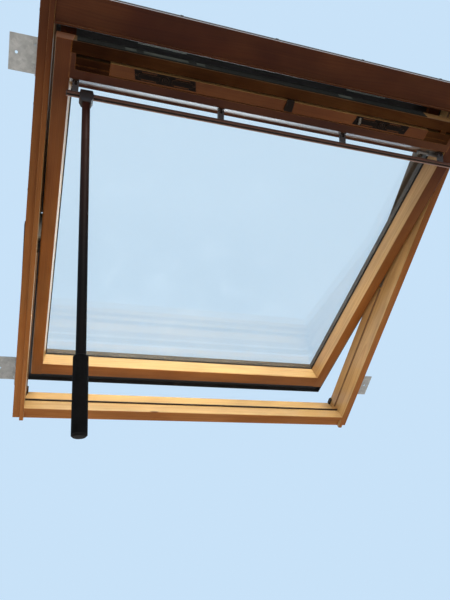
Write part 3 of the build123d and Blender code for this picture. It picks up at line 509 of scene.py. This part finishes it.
def piece(name, shape, body, material):
    """A mesh piece of the scene that rides on a body and is shaded round between its arrises."""
    points, faces = shape
    mesh = bpy.data.meshes.new(name)
    mesh.from_pydata([tuple(point) for point in points], [], faces)
    mesh.polygons.foreach_set("use_smooth", [True] * len(mesh.polygons))
    mesh.set_sharp_from_angle(angle=math.radians(ARRIS_ANGLE))
    mesh.materials.append(material)
    thing = bpy.data.objects.new(name, mesh)
    bpy.context.collection.objects.link(thing)
    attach(thing, body)
    return thing


def ran_along(outline, x_from, x_to):
    """Points and faces of a closed (y, z) outline run along x, with both ends closed."""
    count = len(outline)
    points = [(x, y, z) for x in (x_from, x_to) for y, z in outline]
    faces = [(k, (k + 1) % count, count + (k + 1) % count, count + k) for k in range(count)]
    faces += [tuple(reversed(range(count))), tuple(range(count, 2 * count))]
    return points, faces


def put_at(place, shape):
    """A shape put in its place."""
    points, faces = shape
    return [place @ Vector(point) for point in points], faces


lip_profile = [
    (-0.0072, -0.0473), (-0.0072, -0.0520), (-0.0040, -0.0516), (0.0020, -0.0506), (0.0062, -0.0499),
    (0.0100, -0.0493), (0.0115, -0.0480), (0.0112, -0.0467), (0.0095, -0.0461), (0.0072, -0.0465),
    (0.0040, -0.0473),
]
lip_rubber = surface("Brown lip rubber", (0.030, 0.014, 0.008), 0.6, tone=0.3, scale=45.0)
lip_seal = piece("sill_lip_seal", put_at(FRAME_PLACE, ran_along(lip_profile, -LIP_HALF, LIP_HALF)),
                 "frame", lip_rubber)
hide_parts("sill_gasket")

# Weather covers: folded aluminium sheet with a dark grey powder coat, screwed over every
# outer edge of the frame and the sash. Rain has left pale runs down the slope.

# Every screw head is given as its radius and its rise.
COVER_SCREW = (0.0042, 0.0018)
TO_ROOF = (0, 0, -1)
UP_SLOPE = (0, 1, 0)
HEAD_SIDES = 24
OWN_TURN = 0.65
RAIN_RUNS = (38.0, 1.3, 38.0)
RAIN_GREY = (0.12, 0.118, 0.112)
RUBBED_GREY = (0.11, 0.11, 0.115)


def turned(profile, radius, rise):
    """Rings of points about z, from shares of a radius and of a height."""
    points = []
    for reach, height in profile:
        for k in range(HEAD_SIDES):
            angle = math.tau * k / HEAD_SIDES
            out = radius * reach
            points.append((out * math.cos(angle), out * math.sin(angle), rise * height))
    return points


def bands(rings):
    """Faces between rings of points stacked on each other."""
    faces = []
    for ring in range(rings - 1):
        for k in range(HEAD_SIDES):
            low = HEAD_SIDES * ring + k
            after = HEAD_SIDES * ring + (k + 1) % HEAD_SIDES
            faces.append((low, after, after + HEAD_SIDES, low + HEAD_SIDES))
    return faces


def cross_screw(radius, rise):
    """Points and faces of a domed screw head with a cross recess, standing on z = 0."""
    dome = [(1.0, 0.0), (1.0, 0.4), (0.93, 0.78), (0.8, 0.95), (0.68, 1.0)]
    points = turned(dome, radius, rise)
    faces = bands(len(dome))
    arm = 0.54 * radius
    slot = 0.12 * radius
    depth = 0.55 * radius
    narrowing = 0.8
    cross = []
    for quarter in range(4):
        turn = Matrix.Rotation(quarter * math.pi / 2, 2)
        cross += [turn @ Vector(point) for point in ((arm, -slot), (arm, slot), (slot, slot))]
    corners = len(cross)
    crown = len(points) - HEAD_SIDES
    rim = len(points)
    bottom = rim + corners
    points += [(*point, rise) for point in cross]
    points += [(*(point * narrowing), rise - depth) for point in cross]
    for k in range(corners):
        after = (k + 1) % corners
        first, second, third = (crown + (2 * k + step) % HEAD_SIDES for step in range(3))
        faces.append((rim + after, rim + k, bottom + k, bottom + after))
        faces.append((first, second, rim + after, rim + k))
        faces.append((second, third, rim + after))
    faces.append(tuple(range(bottom, bottom + corners)))
    return points, faces


def joined(shapes):
    """Several shapes as one."""
    points, faces = [], []
    for more_points, more_faces in shapes:
        start = len(points)
        points += more_points
        faces += [tuple(start + number for number in face) for face in more_faces]
    return points, faces


def set_out(name, shape, axes, spots, body, material):
    """Copies of one small fixing at spots given as (place, way it faces), each turned its own way."""
    copies = []
    for count, (spot, outward) in enumerate(spots):
        stand = Vector(outward).to_track_quat("Z", "Y").to_matrix().to_4x4()
        place = axes @ Matrix.Translation(spot) @ stand @ Matrix.Rotation(count * OWN_TURN, 4, "Z")
        copies.append(put_at(place, shape))
    return piece(name, joined(copies), body, material)


def rubbed(material, colour, amount, rough=0.4, reach=0.0012):
    """Shows another colour along the arrises, where handling rubs the finish through."""
    tree = material.node_tree
    values = {"Vector": in_place(tree), "Reach": reach, "Breakup": 160.0}
    mask = effect(tree, edge_group, values)["Mask"]
    return overlay(material, times(tree, mask, amount), colour, rough=rough)


def powder_coat():
    """Dark grey powder coat with its orange-peel skin, rain runs and rubbed folds."""
    material = surface("Powder-coated sheet", (0.030, 0.031, 0.034), 0.46, tone=0.14, scale=7.0,
                       relief=(1600.0, 0.35, 0.0002))
    tree = material.node_tree
    run = long_noise(tree, own_axes(tree, "Object", FRAME_TILT), RAIN_RUNS, detail=5.0, rough=0.65)
    up = parts_of(tree, facing(tree))["Z"]
    wet = times(tree, between(tree, run, 0.50, 0.72), between(tree, up, 0.0, 0.6, to_low=0.05, to_high=0.38))
    overlay(material, wet, RAIN_GREY, rough=0.7)
    rubbed(material, RUBBED_GREY, amount=0.6)
    return dusty(material, 0.3)


finish_with(
    powder_coat(),
    "jamb_cap_left", "jamb_cap_right", "side_hood_left", "side_hood_right", "head_hood", "sill_cover",
    "low_cover_left", "low_cover_right", "high_cover_left", "high_cover_right", "bottom_cover", "top_cover",
)
coated_screw = dusty(surface("Coated screws", (0.045, 0.045, 0.048), 0.4, metal=0.5), 0.5)
sill_cover_y, sill_cover_z = -0.028, -0.1115
head_hood_y, head_hood_z = 1.1465, -0.112
jamb_cap_x, jamb_cap_z = 0.5715, -0.097
side_hood_x, side_hood_z = 0.5730, -0.103
top_cover_y, top_cover_z = 1.022, -0.0775
frame_cover_spots = [((x, sill_cover_y, sill_cover_z), TO_ROOF) for x in (-0.45, -0.225, 0.0, 0.225, 0.45)]
frame_cover_spots += [((x, head_hood_y, head_hood_z), UP_SLOPE) for x in (-0.5, -0.25, 0.0, 0.25, 0.5)]
for side in (-1, 1):
    outward = (side, 0, 0)
    frame_cover_spots += [((side * jamb_cap_x, y, jamb_cap_z), outward) for y in (0.04, 0.28, 0.50)]
    frame_cover_spots += [((side * side_hood_x, y, side_hood_z), outward) for y in (0.66, 0.88, 1.09)]
set_out("frame_cover_screws", cross_screw(*COVER_SCREW), FRAME_PLACE, frame_cover_spots,
        "frame", coated_screw)
sash_cover_spots = [((x, top_cover_y, top_cover_z), TO_ROOF) for x in (-0.45, -0.15, 0.15, 0.45)]
set_out("sash_cover_screws", cross_screw(*COVER_SCREW), SASH_PLACE, sash_cover_spots,
        "sash", coated_screw)

# Pivot hinges and lock: pressed steel plate, zinc plated, held by four countersunk screws
# each. Grease has darkened the half-moons and the turning has scored rings into them. A dark
# strip with four keeper plates runs beside the lock, along the sash's top edge.

HINGE_SCREW = (0.0036, 0.0008)
STRIKE_SCREW = (0.0030, 0.0007)
LOCK_SCREW = (0.0032, 0.0008)
DOWN_SLOPE = (0, -1, 0)
PIVOT_LINE = (0, -LINING_BOTTOM - PIVOT_SLOPE, PIVOT_DEPTH - HALF_DEPTH)
GREASE = (0.10, 0.09, 0.07)
RUBBED_ZINC = (0.55, 0.54, 0.50)
RUBBED_STRIP = (0.04, 0.04, 0.036)


def zinc_plate(name, colour, pivot=None):
    """Zinc-plated steel, clouded and dusty, with greased and scored rings about a pivot."""
    material = surface(name, colour, 0.36, tone=0.2, scale=45.0, metal=0.85, relief=(1200.0, 0.15, 0.0001))
    tree = material.node_tree
    if pivot is not None:
        axis = stretched(tree, own_axes(tree, "Object", FRAME_TILT, offset=pivot), (0, 1, 1))
        radius = on_vector(tree, "LENGTH", {0: axis})["Value"]
        score = put(tree, "ShaderNodeTexNoise", {"noise_dimensions": "1D"}, {"W": radius, "Scale": 900.0})
        near = between(tree, radius, 0.044, 0.036)
        greasy = between(tree, score.outputs["Fac"], 0.35, 0.65, to_low=0.35, to_high=0.8)
        overlay(material, times(tree, near, greasy), GREASE, rough=0.3)
    rubbed(material, RUBBED_ZINC, amount=0.5, rough=0.3)
    return dusty(material, 0.3)


hinge_zinc = zinc_plate("Zinc-plated hinge", (0.42, 0.41, 0.37), PIVOT_LINE)
finish_with(hinge_zinc, "frame_hinge_left", "frame_hinge_right", "sash_hinge_left", "sash_hinge_right")
lock_zinc = zinc_plate("Zinc-plated lock", (0.17, 0.18, 0.155))
finish_with(lock_zinc, "strike_plate", "lock_case")
frame_plate_x, frame_plate_reach = 0.538, 0.045
sash_plate_x, sash_plate_reach = 0.531, 0.0455
frame_hinge_spots, sash_hinge_spots = [], []
for side in (-1, 1):
    for way in (-1, 1):
        frame_y = PIVOT_SLOPE + way * frame_plate_reach
        sash_y = SASH_PIVOT_SLOPE + way * sash_plate_reach
        inward = (-side, 0, 0)
        outward = (side, 0, 0)
        frame_hinge_spots += [((side * frame_plate_x, frame_y, z), inward) for z in (-0.078, -0.104)]
        sash_hinge_spots += [((side * sash_plate_x, sash_y, z), outward) for z in (-0.030, -0.047)]
set_out("frame_hinge_screws", cross_screw(*HINGE_SCREW), FRAME_PLACE, frame_hinge_spots,
        "frame", hinge_zinc)
set_out("sash_hinge_screws", cross_screw(*HINGE_SCREW), SASH_PLACE, sash_hinge_spots,
        "sash", hinge_zinc)
strike_y, strike_z = 1.083, -0.104
strike_spots = [((x, strike_y, strike_z), DOWN_SLOPE) for x in (-0.38, -0.17, 0.0, 0.17, 0.38)]
set_out("strike_screws", cross_screw(*STRIKE_SCREW), FRAME_PLACE, strike_spots,
        "frame", lock_zinc)
lock_y, lock_z = 1.058, -0.0485
lock_spots = [((x, lock_y, lock_z), UP_SLOPE) for x in (-0.078, 0.078)]
set_out("lock_screws", cross_screw(*LOCK_SCREW), SASH_PLACE, lock_spots, "sash", lock_zinc)


def rolled_strip(low, lip, room_side, roof_side):
    """Outline (y, z) of a thin strip lying on the sash's top edge, with a rolled lip at each side."""
    top = low + 0.0008
    crest = low + lip
    curl = 0.0012
    foot = 0.0018
    return [
        (low, -room_side), (low, -roof_side), (crest, -roof_side), (crest, -roof_side + curl),
        (top, -roof_side + foot), (top, -room_side - foot), (crest, -room_side - curl), (crest, -room_side),
    ]


# Painted shade: the strip's near-black coat also stands in for the shade under the head.
strip_paint = surface("Dark strip, painted shade", (0.004, 0.0045, 0.004), 0.8, tone=0.2)
strip_paint = dusty(rubbed(strip_paint, RUBBED_STRIP, amount=0.5), 0.05)
mirrors(strip_paint, 0.03)
strip = rolled_strip(low=1.081, lip=0.0015, room_side=0.0035, roof_side=0.0315)
piece("top_edge_strip", put_at(SASH_PLACE, ran_along(strip, -0.488, 0.392)),
      "sash", strip_paint)
# Painted shade: the keeper plates are coloured near black for the shade under the head.
keeper_zinc = surface("Keeper plate, painted shade", (0.026, 0.030, 0.027), 0.85, tone=0.3)
mirrors(keeper_zinc, 0.04)
keeper_profile = [(1.0818, -0.010), (1.0818, -0.025), (1.0824, -0.024), (1.0826, -0.0175), (1.0824, -0.011)]
keeper_ends = [(-0.386, -0.361), (-0.345, -0.243), (-0.224, -0.204), (0.139, 0.176)]
keepers = joined([put_at(SASH_PLACE, ran_along(keeper_profile, *ends)) for ends in keeper_ends])
piece("keeper_plates", keepers, "sash", keeper_zinc)

# Installation brackets: hot-dip galvanised angles, each held to its jamb by two
# washer-head screws. The zinc has set in spangles with a few white stains.

BRACKET_SCREW = (0.0042, 0.0048)
SPANGLES_A_METRE = 130.0
SPANGLE_GREY = (0.26, 0.27, 0.28)
STAIN_WHITE = (0.66, 0.67, 0.66)


def washer_screw(radius, rise):
    """Points and faces of a hexagon screw head on its own washer, standing on z = 0."""
    sixth = math.pi / 3
    washer = [(1.7, 0.0), (1.7, 0.14), (1.55, 0.24), (1.02, 0.30)]
    hexagon = [(1.0, 0.30), (1.0, 0.88), (0.86, 1.0)]
    points = turned(washer, radius, rise)
    for reach, height in hexagon:
        for k in range(HEAD_SIDES):
            angle = math.tau * k / HEAD_SIDES
            flat = math.cos(math.pi / 6) / math.cos((angle % sixth) - math.pi / 6)
            out = radius * (min(flat, 1.0) if reach == 1.0 else reach)
            points.append((out * math.cos(angle), out * math.sin(angle), rise * height))
    faces = bands(len(washer) + len(hexagon))
    faces.append(tuple(range(len(points) - HEAD_SIDES, len(points))))
    return points, faces


def galvanised():
    """Hot-dip zinc with spangles and a few white stains."""
    material = surface("Galvanised steel", (0.47, 0.48, 0.48), 0.42, tone=0.15, scale=60.0, metal=0.8)
    tree = material.node_tree
    place = in_place(tree)
    values = {"Vector": place, "Scale": SPANGLES_A_METRE}
    spangle = put(tree, "ShaderNodeTexVoronoi", None, values).outputs["Color"]
    overlay(material, times(tree, parts_of(tree, spangle)["X"], 0.5), SPANGLE_GREY, rough=0.3)
    stain = between(tree, noise(tree, place, 24.0, detail=5.0, rough=0.7), 0.60, 0.72)
    overlay(material, times(tree, stain, 0.6), STAIN_WHITE, rough=0.8)
    return dusty(material, 0.3)


zinc_angle = galvanised()
finish_with(zinc_angle, "install_brackets", "flap_pins")
bracket_x, bracket_z = 0.5725, -0.043
bracket_spots = []
for side in (-1, 1):
    for y in (0.093, 0.137, 0.973, 1.017):
        bracket_spots.append(((side * bracket_x, y, bracket_z), (side, 0, 0)))
set_out("bracket_screws", washer_screw(*BRACKET_SCREW), FRAME_PLACE, bracket_spots,
        "frame", zinc_angle)

# Vent flap fittings: two stamped and pierced plates and a finger catch, lacquered dark
# brown and rubbed through to the metal at their edges, the plates' paler edges also serving as
# painted highlights, each plate with two screws. A steel spring at the right one's end pulls the flap shut.

FITTING_SCREW = (0.0027, 0.0008)
TO_ROOM = (0, 0, 1)
RUBBED_LACQUER_AND_HIGHLIGHT = (0.20, 0.11, 0.066)
RUBBED_CATCH = (0.14, 0.09, 0.065)
RIB_PITCH = 0.0032


def brown_lacquer():
    """Dark brown lacquer over metal, worn at the arrises, whose paler edges are also painted highlights, and
    clouded by old polish.
    """
    material = surface("Brown lacquered metal", (0.007, 0.004, 0.003), 0.36, tone=0.2, scale=70.0,
                       relief=(700.0, 0.15, 0.0001))
    # Painted highlight: the paler rubbed edges also stand in for highlights on the arrises.
    rubbed(material, RUBBED_LACQUER_AND_HIGHLIGHT, amount=0.6, rough=0.3, reach=0.0011)
    mirrors(material, 0.06)
    return dusty(material, 0.1)


lacquer = brown_lacquer()
finish_with(lacquer, "fitting_left", "fitting_right", "fitting_rivets", "bracket_bases", "bracket_pins")


def ribbed_catch():
    """The same brown on the catch, with moulded finger ribs across it."""
    material = surface("Brown moulded catch", (0.013, 0.008, 0.006), 0.5, tone=0.2, scale=80.0)
    tree = material.node_tree
    slope = parts_of(tree, own_axes(tree, "Object", SASH_TILT))["Y"]
    rib = calc(tree, "SINE", times(tree, slope, math.tau / RIB_PITCH))
    pressed_in(tree, rib, strength=0.9, depth=0.0006)
    mirrors(material, 0.08)
    return rubbed(material, RUBBED_CATCH, amount=0.6)


finish_with(ribbed_catch(), "flap_catch")
fitting_y, flap_face = 1.03715, 0.0015
fitting_spots = [((x, fitting_y, flap_face), TO_ROOM) for x in (-0.3545, -0.2215, 0.2215, 0.3415)]
set_out("fitting_screws", cross_screw(*FITTING_SCREW), SASH_PLACE, fitting_spots,
        "vent_flap", lacquer)


def coil_spring(radius, wire, length, turns, steps=28, sides=8):
    """Points and faces of a wound spring along y, standing on z = 0, with its ends bent in."""
    tucked = 0.25
    opening = 1.5
    points, faces = [], []
    count = int(turns * steps)
    for k in range(count + 1):
        share = k / count
        angle = math.tau * turns * share
        end = min(share, 1 - share) * turns
        reach = radius * min(1.0, tucked + end * opening)
        rise = radius + wire + reach * math.sin(angle)
        middle = Vector((reach * math.cos(angle), (share - 0.5) * length, rise))
        spoke = Vector((math.cos(angle), 0, math.sin(angle)))
        for s in range(sides):
            bend = math.tau * s / sides
            points.append(middle + wire * (math.cos(bend) * spoke + math.sin(bend) * Vector((0, 1, 0))))
        if k:
            for s in range(sides):
                low = (k - 1) * sides + s
                after = (k - 1) * sides + (s + 1) % sides
                faces.append((low, low + sides, after + sides, after))
    faces.append(tuple(range(sides)))
    faces.append(tuple(reversed(range(count * sides, count * sides + sides))))
    return points, faces


spring_wire = dusty(surface("Spring wire", (0.38, 0.34, 0.29), 0.3, tone=0.3, scale=120.0, metal=0.9), 0.2)
spring_spot = (0.2105, 1.0380, flap_face)
spring_lean = 0.26
spring_place = SASH_PLACE @ Matrix.Translation(spring_spot) @ Matrix.Rotation(spring_lean, 4, "Z")
spring = coil_spring(radius=0.0032, wire=0.0008, length=0.018, turns=5.5)
piece("vent_spring", put_at(spring_place, spring), "vent_flap", spring_wire)

# Control bar: a brown coated aluminium extrusion with a groove along its room face, painted
# black as shade in the groove, closed by a plastic plug at each end, on four forked levers that
# turn on pins. Its lower lip is painted paler as light reflected onto it.

LEVER_SCREW = (0.0014, 0.0005)
LIP_PAINTED_LIGHT = (0.38, 0.25, 0.21)
RUBBED_BAR = (0.32, 0.21, 0.16)
RUBBED_LEVER = (0.24, 0.20, 0.18)
LIP_STREAKS = (5.0, 60.0, 60.0)
GROOVE_SHADE = (0.012, 0.010, 0.009)


def coated_bar():
    """Brown coat on the bar, with painted light along the lower lip, painted shade in the groove, and rubbed
    at the arrises.
    """
    lip_starts, lip_full = 0.9772, 0.9760
    groove_low, groove_high = 0.9779, 0.9823
    fade = 0.0002
    material = surface("Brown coated bar", (0.085, 0.036, 0.024), 0.40, tone=0.12, scale=20.0)
    tree = material.node_tree
    slope = parts_of(tree, own_axes(tree, "Object", SASH_TILT))["Y"]
    # Painted light: the lower lip is coloured paler, in streaks, for the light reflected onto it.
    lip = between(tree, slope, lip_starts, lip_full)
    streaky = long_noise(tree, in_place(tree), LIP_STREAKS, detail=4.0, rough=0.6)
    lip_light = times(tree, lip, between(tree, streaky, 0.2, 0.6, to_low=0.5, to_high=0.9))
    overlay(material, lip_light, LIP_PAINTED_LIGHT, rough=0.5)
    # Painted shade: the groove is coloured near black for the shade in it.
    below_top = between(tree, slope, groove_high, groove_high - fade)
    groove = times(tree, between(tree, slope, groove_low, groove_low + fade), below_top)
    overlay(material, groove, GROOVE_SHADE, rough=0.7)
    rubbed(material, RUBBED_BAR, amount=0.5, rough=0.35)
    mirrors(material, 0.25)
    return dusty(material, 0.25)


finish_with(coated_bar(), "control_bar")
lever_coat = surface("Brown cast levers", (0.030, 0.019, 0.016), 0.42, tone=0.15, scale=60.0, metal=0.15)
finish_with(dusty(rubbed(lever_coat, RUBBED_LEVER, amount=0.6), 0.2), "bar_brackets")
reveal_edge = 1.0
reveal_fall, reveal_depth = 30.3, 50.0
base_slope = -reveal_fall / math.hypot(reveal_fall, reveal_depth)
base_drop = -reveal_depth / math.hypot(reveal_fall, reveal_depth)


def off_reveal(x, along, above):
    """A place on the top rail's slanted face, and the way that face looks."""
    y = reveal_edge + along * base_slope + above * base_drop
    return (x, y, along * base_drop - above * base_slope), (0, base_drop, -base_slope)


lever_x = (-0.482, -0.143, 0.186, 0.486)
foot_half, foot_along, foot_above = 0.0052, 0.012, 0.002
base_spots = [
    off_reveal(x + way * foot_half, foot_along, foot_above) for x in lever_x for way in (-1, 1)
]
set_out("base_screws", cross_screw(*LEVER_SCREW), SASH_PLACE, base_spots, "sash", lacquer)


def end_plug(height, depth, corner, thickness):
    """Points and faces of a flat plug with rounded corners, standing on z = 0."""
    per_corner = HEAD_SIDES // 4
    shoulder = 0.6
    face_depth = 0.88
    face_height = 0.92
    outline = []
    for quarter, (a, b) in enumerate(((1, 1), (-1, 1), (-1, -1), (1, -1))):
        for k in range(per_corner):
            angle = math.pi / 2 * (quarter + k / (per_corner - 1))
            x = a * (depth / 2 - corner) + corner * math.cos(angle)
            outline.append((x, b * (height / 2 - corner) + corner * math.sin(angle)))
    points = [(x, y, 0.0) for x, y in outline]
    points += [(x, y, thickness * shoulder) for x, y in outline]
    points += [(x * face_depth, y * face_height, thickness) for x, y in outline]
    faces = bands(3)
    faces.append(tuple(range(len(points) - HEAD_SIDES, len(points))))
    return points, faces


plug_plastic = surface("Plug plastic", (0.020, 0.018, 0.017), 0.42, tone=0.15, scale=90.0)
plug = end_plug(height=0.0122, depth=0.0086, corner=0.0024, thickness=0.0016)
bar_y, bar_z = 0.973, 0.018
for name, x, way in (("bar_plug_left", -0.499, -1), ("bar_plug_right", 0.516, 1)):
    stand = Matrix.Translation((x, bar_y, bar_z)) @ Matrix.Rotation(way * math.pi / 2, 4, "Y")
    piece(name, put_at(SASH_PLACE @ stand, plug), "control_bar", plug_plastic)

# Barrel bolt: a drawn steel bar in a stamped guide on the slanted face of the top rail, held
# by four small screws; it locks the sash through a plastic bush in the jamb.

BOLT_SCREW = (0.0013, 0.0005)
DRAW_LINES = (12.0, 2400.0, 2400.0)
DRAWN_GREY = (0.20, 0.19, 0.18)


def drawn_steel():
    """Drawn steel with fine lines along its length."""
    material = surface("Bright drawn steel", (0.22, 0.21, 0.20), 0.36, tone=0.15, scale=50.0, metal=0.9)
    tree = material.node_tree
    line = long_noise(tree, in_place(tree), DRAW_LINES, detail=2.0, rough=0.5)
    overlay(material, between(tree, line, 0.55, 0.75, to_high=0.5), DRAWN_GREY, rough=0.45)
    return dusty(material, 0.2)


bolt_steel = drawn_steel()
finish_with(bolt_steel, "barrel_bolt", "bolt_guide")
finish_with(surface("Grey plastic bush", (0.34, 0.33, 0.30), 0.5, relief=(300.0, 0.2, 0.0002)), "bolt_bush")
guide_middle, guide_half, guide_above = 0.0319, 0.0076, 0.0015
guide_spots = [
    off_reveal(x, guide_middle + way * guide_half, guide_above) for x in (0.4665, 0.4885) for way in (-1, 1)
]
set_out("guide_screws", cross_screw(*BOLT_SCREW), SASH_PLACE, guide_spots, "sash", bolt_steel)

# Rod: a moulded hook over the bar, a lacquered steel tube, a foam rubber grip and a moulded
# end cap. It hangs plumb; the tube's top is painted browner as light falling on it, and hands have dulled
# the grip.

TUBE_LINES = (2200.0, 2200.0, 8.0)
TUBE_BLOTCHES = (30.0, 30.0, 6.0)
TOP_LIGHT_BROWN = (0.042, 0.0125, 0.008)
DRAWN_BROWN = (0.03, 0.016, 0.012)
PORE_BLACK = (0.004, 0.004, 0.004)
HELD_GREY = (0.007, 0.0065, 0.0065)
RUBBED_HOOK = (0.09, 0.06, 0.05)
PORES_A_METRE = 800.0


def lacquered_tube():
    """Black lacquer, painted browner towards the top as painted light, with fine draw lines."""
    light_starts, fully_lit = -0.10, 0.45
    material = surface("Lacquered tube", (0.0045, 0.0035, 0.0035), 0.55, tone=0.15, scale=25.0)
    tree = material.node_tree
    place = in_place(tree)
    # Painted light: the tube is coloured browner towards its top, where light falls on it.
    height = between(tree, parts_of(tree, place)["Z"], light_starts, fully_lit)
    blotch = long_noise(tree, place, TUBE_BLOTCHES, detail=4.0, rough=0.6)
    overlay(material, times(tree, height, between(tree, blotch, 0.2, 0.7, to_low=0.7)), TOP_LIGHT_BROWN)
    line = long_noise(tree, place, TUBE_LINES, detail=2.0, rough=0.5)
    overlay(material, between(tree, line, 0.60, 0.80, to_high=0.25), DRAWN_BROWN, rough=0.55)
    mirrors(material, 0.05)
    return material


def foam_rubber():
    """Closed foam with open pores in its skin, dulled and greyed where it is held."""
    material = surface("Foam rubber grip", (0.0035, 0.0035, 0.004), 0.88, tone=0.3, scale=60.0)
    tree = material.node_tree
    place = in_place(tree)
    values = {"Vector": place, "Scale": PORES_A_METRE}
    pores = put(tree, "ShaderNodeTexVoronoi", None, values).outputs["Distance"]
    wall = between(tree, pores, 0.15, 0.5)
    pressed_in(tree, calc(tree, "SUBTRACT", 1.0, wall), strength=0.7, depth=0.0005)
    overlay(material, between(tree, pores, 0.5, 0.7, to_high=0.7), PORE_BLACK, rough=0.95)
    held = between(tree, noise(tree, place, 22.0, detail=4.0, rough=0.6), 0.5, 0.7, to_high=0.4)
    mirrors(material, 0.08)
    return overlay(material, held, HELD_GREY, rough=0.8)


finish_with(lacquered_tube(), "rod_tube")
moulded = surface("Brown moulded plastic", (0.018, 0.010, 0.008), 0.42, scale=60.0,
                  relief=(1100.0, 0.25, 0.0002))
finish_with(dusty(rubbed(moulded, RUBBED_HOOK, amount=0.4), 0.1), "rod_hook")
cap_plastic = surface("Black moulded cap", (0.006, 0.0055, 0.0055), 0.6, relief=(1100.0, 0.25, 0.0002))
mirrors(cap_plastic, 0.1)
finish_with(cap_plastic, "rod_end_cap")
finish_with(foam_rubber(), "rod_grip")

# Stage: a plain pale floor well below the window, a high lamp that lights the lower reveals,
# a weaker one on the sky side, a weak one on the room side, and a pale sky behind everything,
# which is brighter to look at than the light that it gives.

SKY = (0.58, 0.76, 0.94, 1)
SKY_LIGHT = (1.0, 0.97, 0.94, 1)
SKY_LIGHT_STRENGTH = 0.40
FLOOR_SIZE = 40.0
FLOOR_LEVEL = -1.05
FLOOR_GREY = (0.78, 0.76, 0.74, 1)
FLOOR_ROUGHNESS = 0.8

bpy.ops.mesh.primitive_plane_add(size=FLOOR_SIZE, location=(0.0, 0.0, FLOOR_LEVEL))
floor = bpy.context.object
floor.name = "floor"
floor_paint, _, floor_shader = new_material("Pale floor")
floor_shader.inputs["Base Color"].default_value = FLOOR_GREY
floor_shader.inputs["Roughness"].default_value = FLOOR_ROUGHNESS
floor.data.materials.append(floor_paint)

sky = bpy.data.worlds.new("Pale sky")
bpy.context.scene.world = sky
sky.use_nodes = True
sky_tree = sky.node_tree
rays = put(sky_tree, "ShaderNodeLightPath").outputs
seen = calc(sky_tree, "ADD", rays["Is Camera Ray"], rays["Is Transmission Ray"], clamp=True)
seen = calc(sky_tree, "ADD", seen, rays["Is Glossy Ray"], clamp=True)
lights = sky_tree.nodes["Background"]
lights.inputs["Color"].default_value = SKY_LIGHT
lights.inputs["Strength"].default_value = SKY_LIGHT_STRENGTH
shown = put(sky_tree, "ShaderNodeBackground", None, {"Color": SKY, "Strength": 1.0})
both = put(sky_tree, "ShaderNodeMixShader", None, {0: seen, 1: lights.outputs[0], 2: shown.outputs[0]})
sky_tree.links.new(both.outputs[0], sky_tree.nodes["World Output"].inputs["Surface"])


def soft_lamp(name, place, aim, size, power, colour):
    """A square lamp that faces a point and isn't seen itself, also not through the panes."""
    data = bpy.data.lights.new(name, "AREA")
    data.size = size
    data.energy = power
    data.color = colour
    lamp = bpy.data.objects.new(name, data)
    bpy.context.collection.objects.link(lamp)
    lamp.location = place
    lamp.rotation_euler = (Vector(aim) - Vector(place)).to_track_quat("-Z", "Y").to_euler()
    lamp.visible_camera = False
    lamp.visible_transmission = False


soft_lamp("High lamp", place=(0.15, -2.9, 3.3), aim=(0.0, -0.1, 0.0),
          size=0.9, power=125.0, colour=(1.0, 0.97, 0.90))
soft_lamp("Sky lamp", place=(0.7, 2.4, 2.3), aim=(0.0, -0.45, 0.3),
          size=1.6, power=55.0, colour=(0.95, 0.97, 1.0))
soft_lamp("Room lamp", place=(-1.8, -3.4, 0.4), aim=(0.0, -0.5, 0.2),
          size=2.6, power=9.0, colour=(1.0, 0.93, 0.88))

# Camera: in the room, below the window and to its left, turned up towards the sky. Its place,
# its aim and its lens were fitted to the edges of the frame and the sash and to the plumb rod.

EYE = (-0.4983, -1.78026, -0.65330)
AHEAD = Vector((0.298527, 0.807780, 0.508305))
TOP = Vector((-0.087774, -0.507096, 0.857408))
LENS = 33.8138
SENSOR = 36.0
NEAREST = 0.05

bpy.context.scene.view_settings.view_transform = "Standard"
camera_data = bpy.data.cameras.new("Camera")
camera_data.lens = LENS
camera_data.sensor_width = SENSOR
camera_data.clip_start = NEAREST
camera = bpy.data.objects.new("Camera", camera_data)
bpy.context.collection.objects.link(camera)
aimed = Matrix((AHEAD.cross(TOP), TOP, -AHEAD)).transposed().to_4x4()
camera.matrix_world = Matrix.Translation(EYE) @ aimed
bpy.context.scene.camera = camera
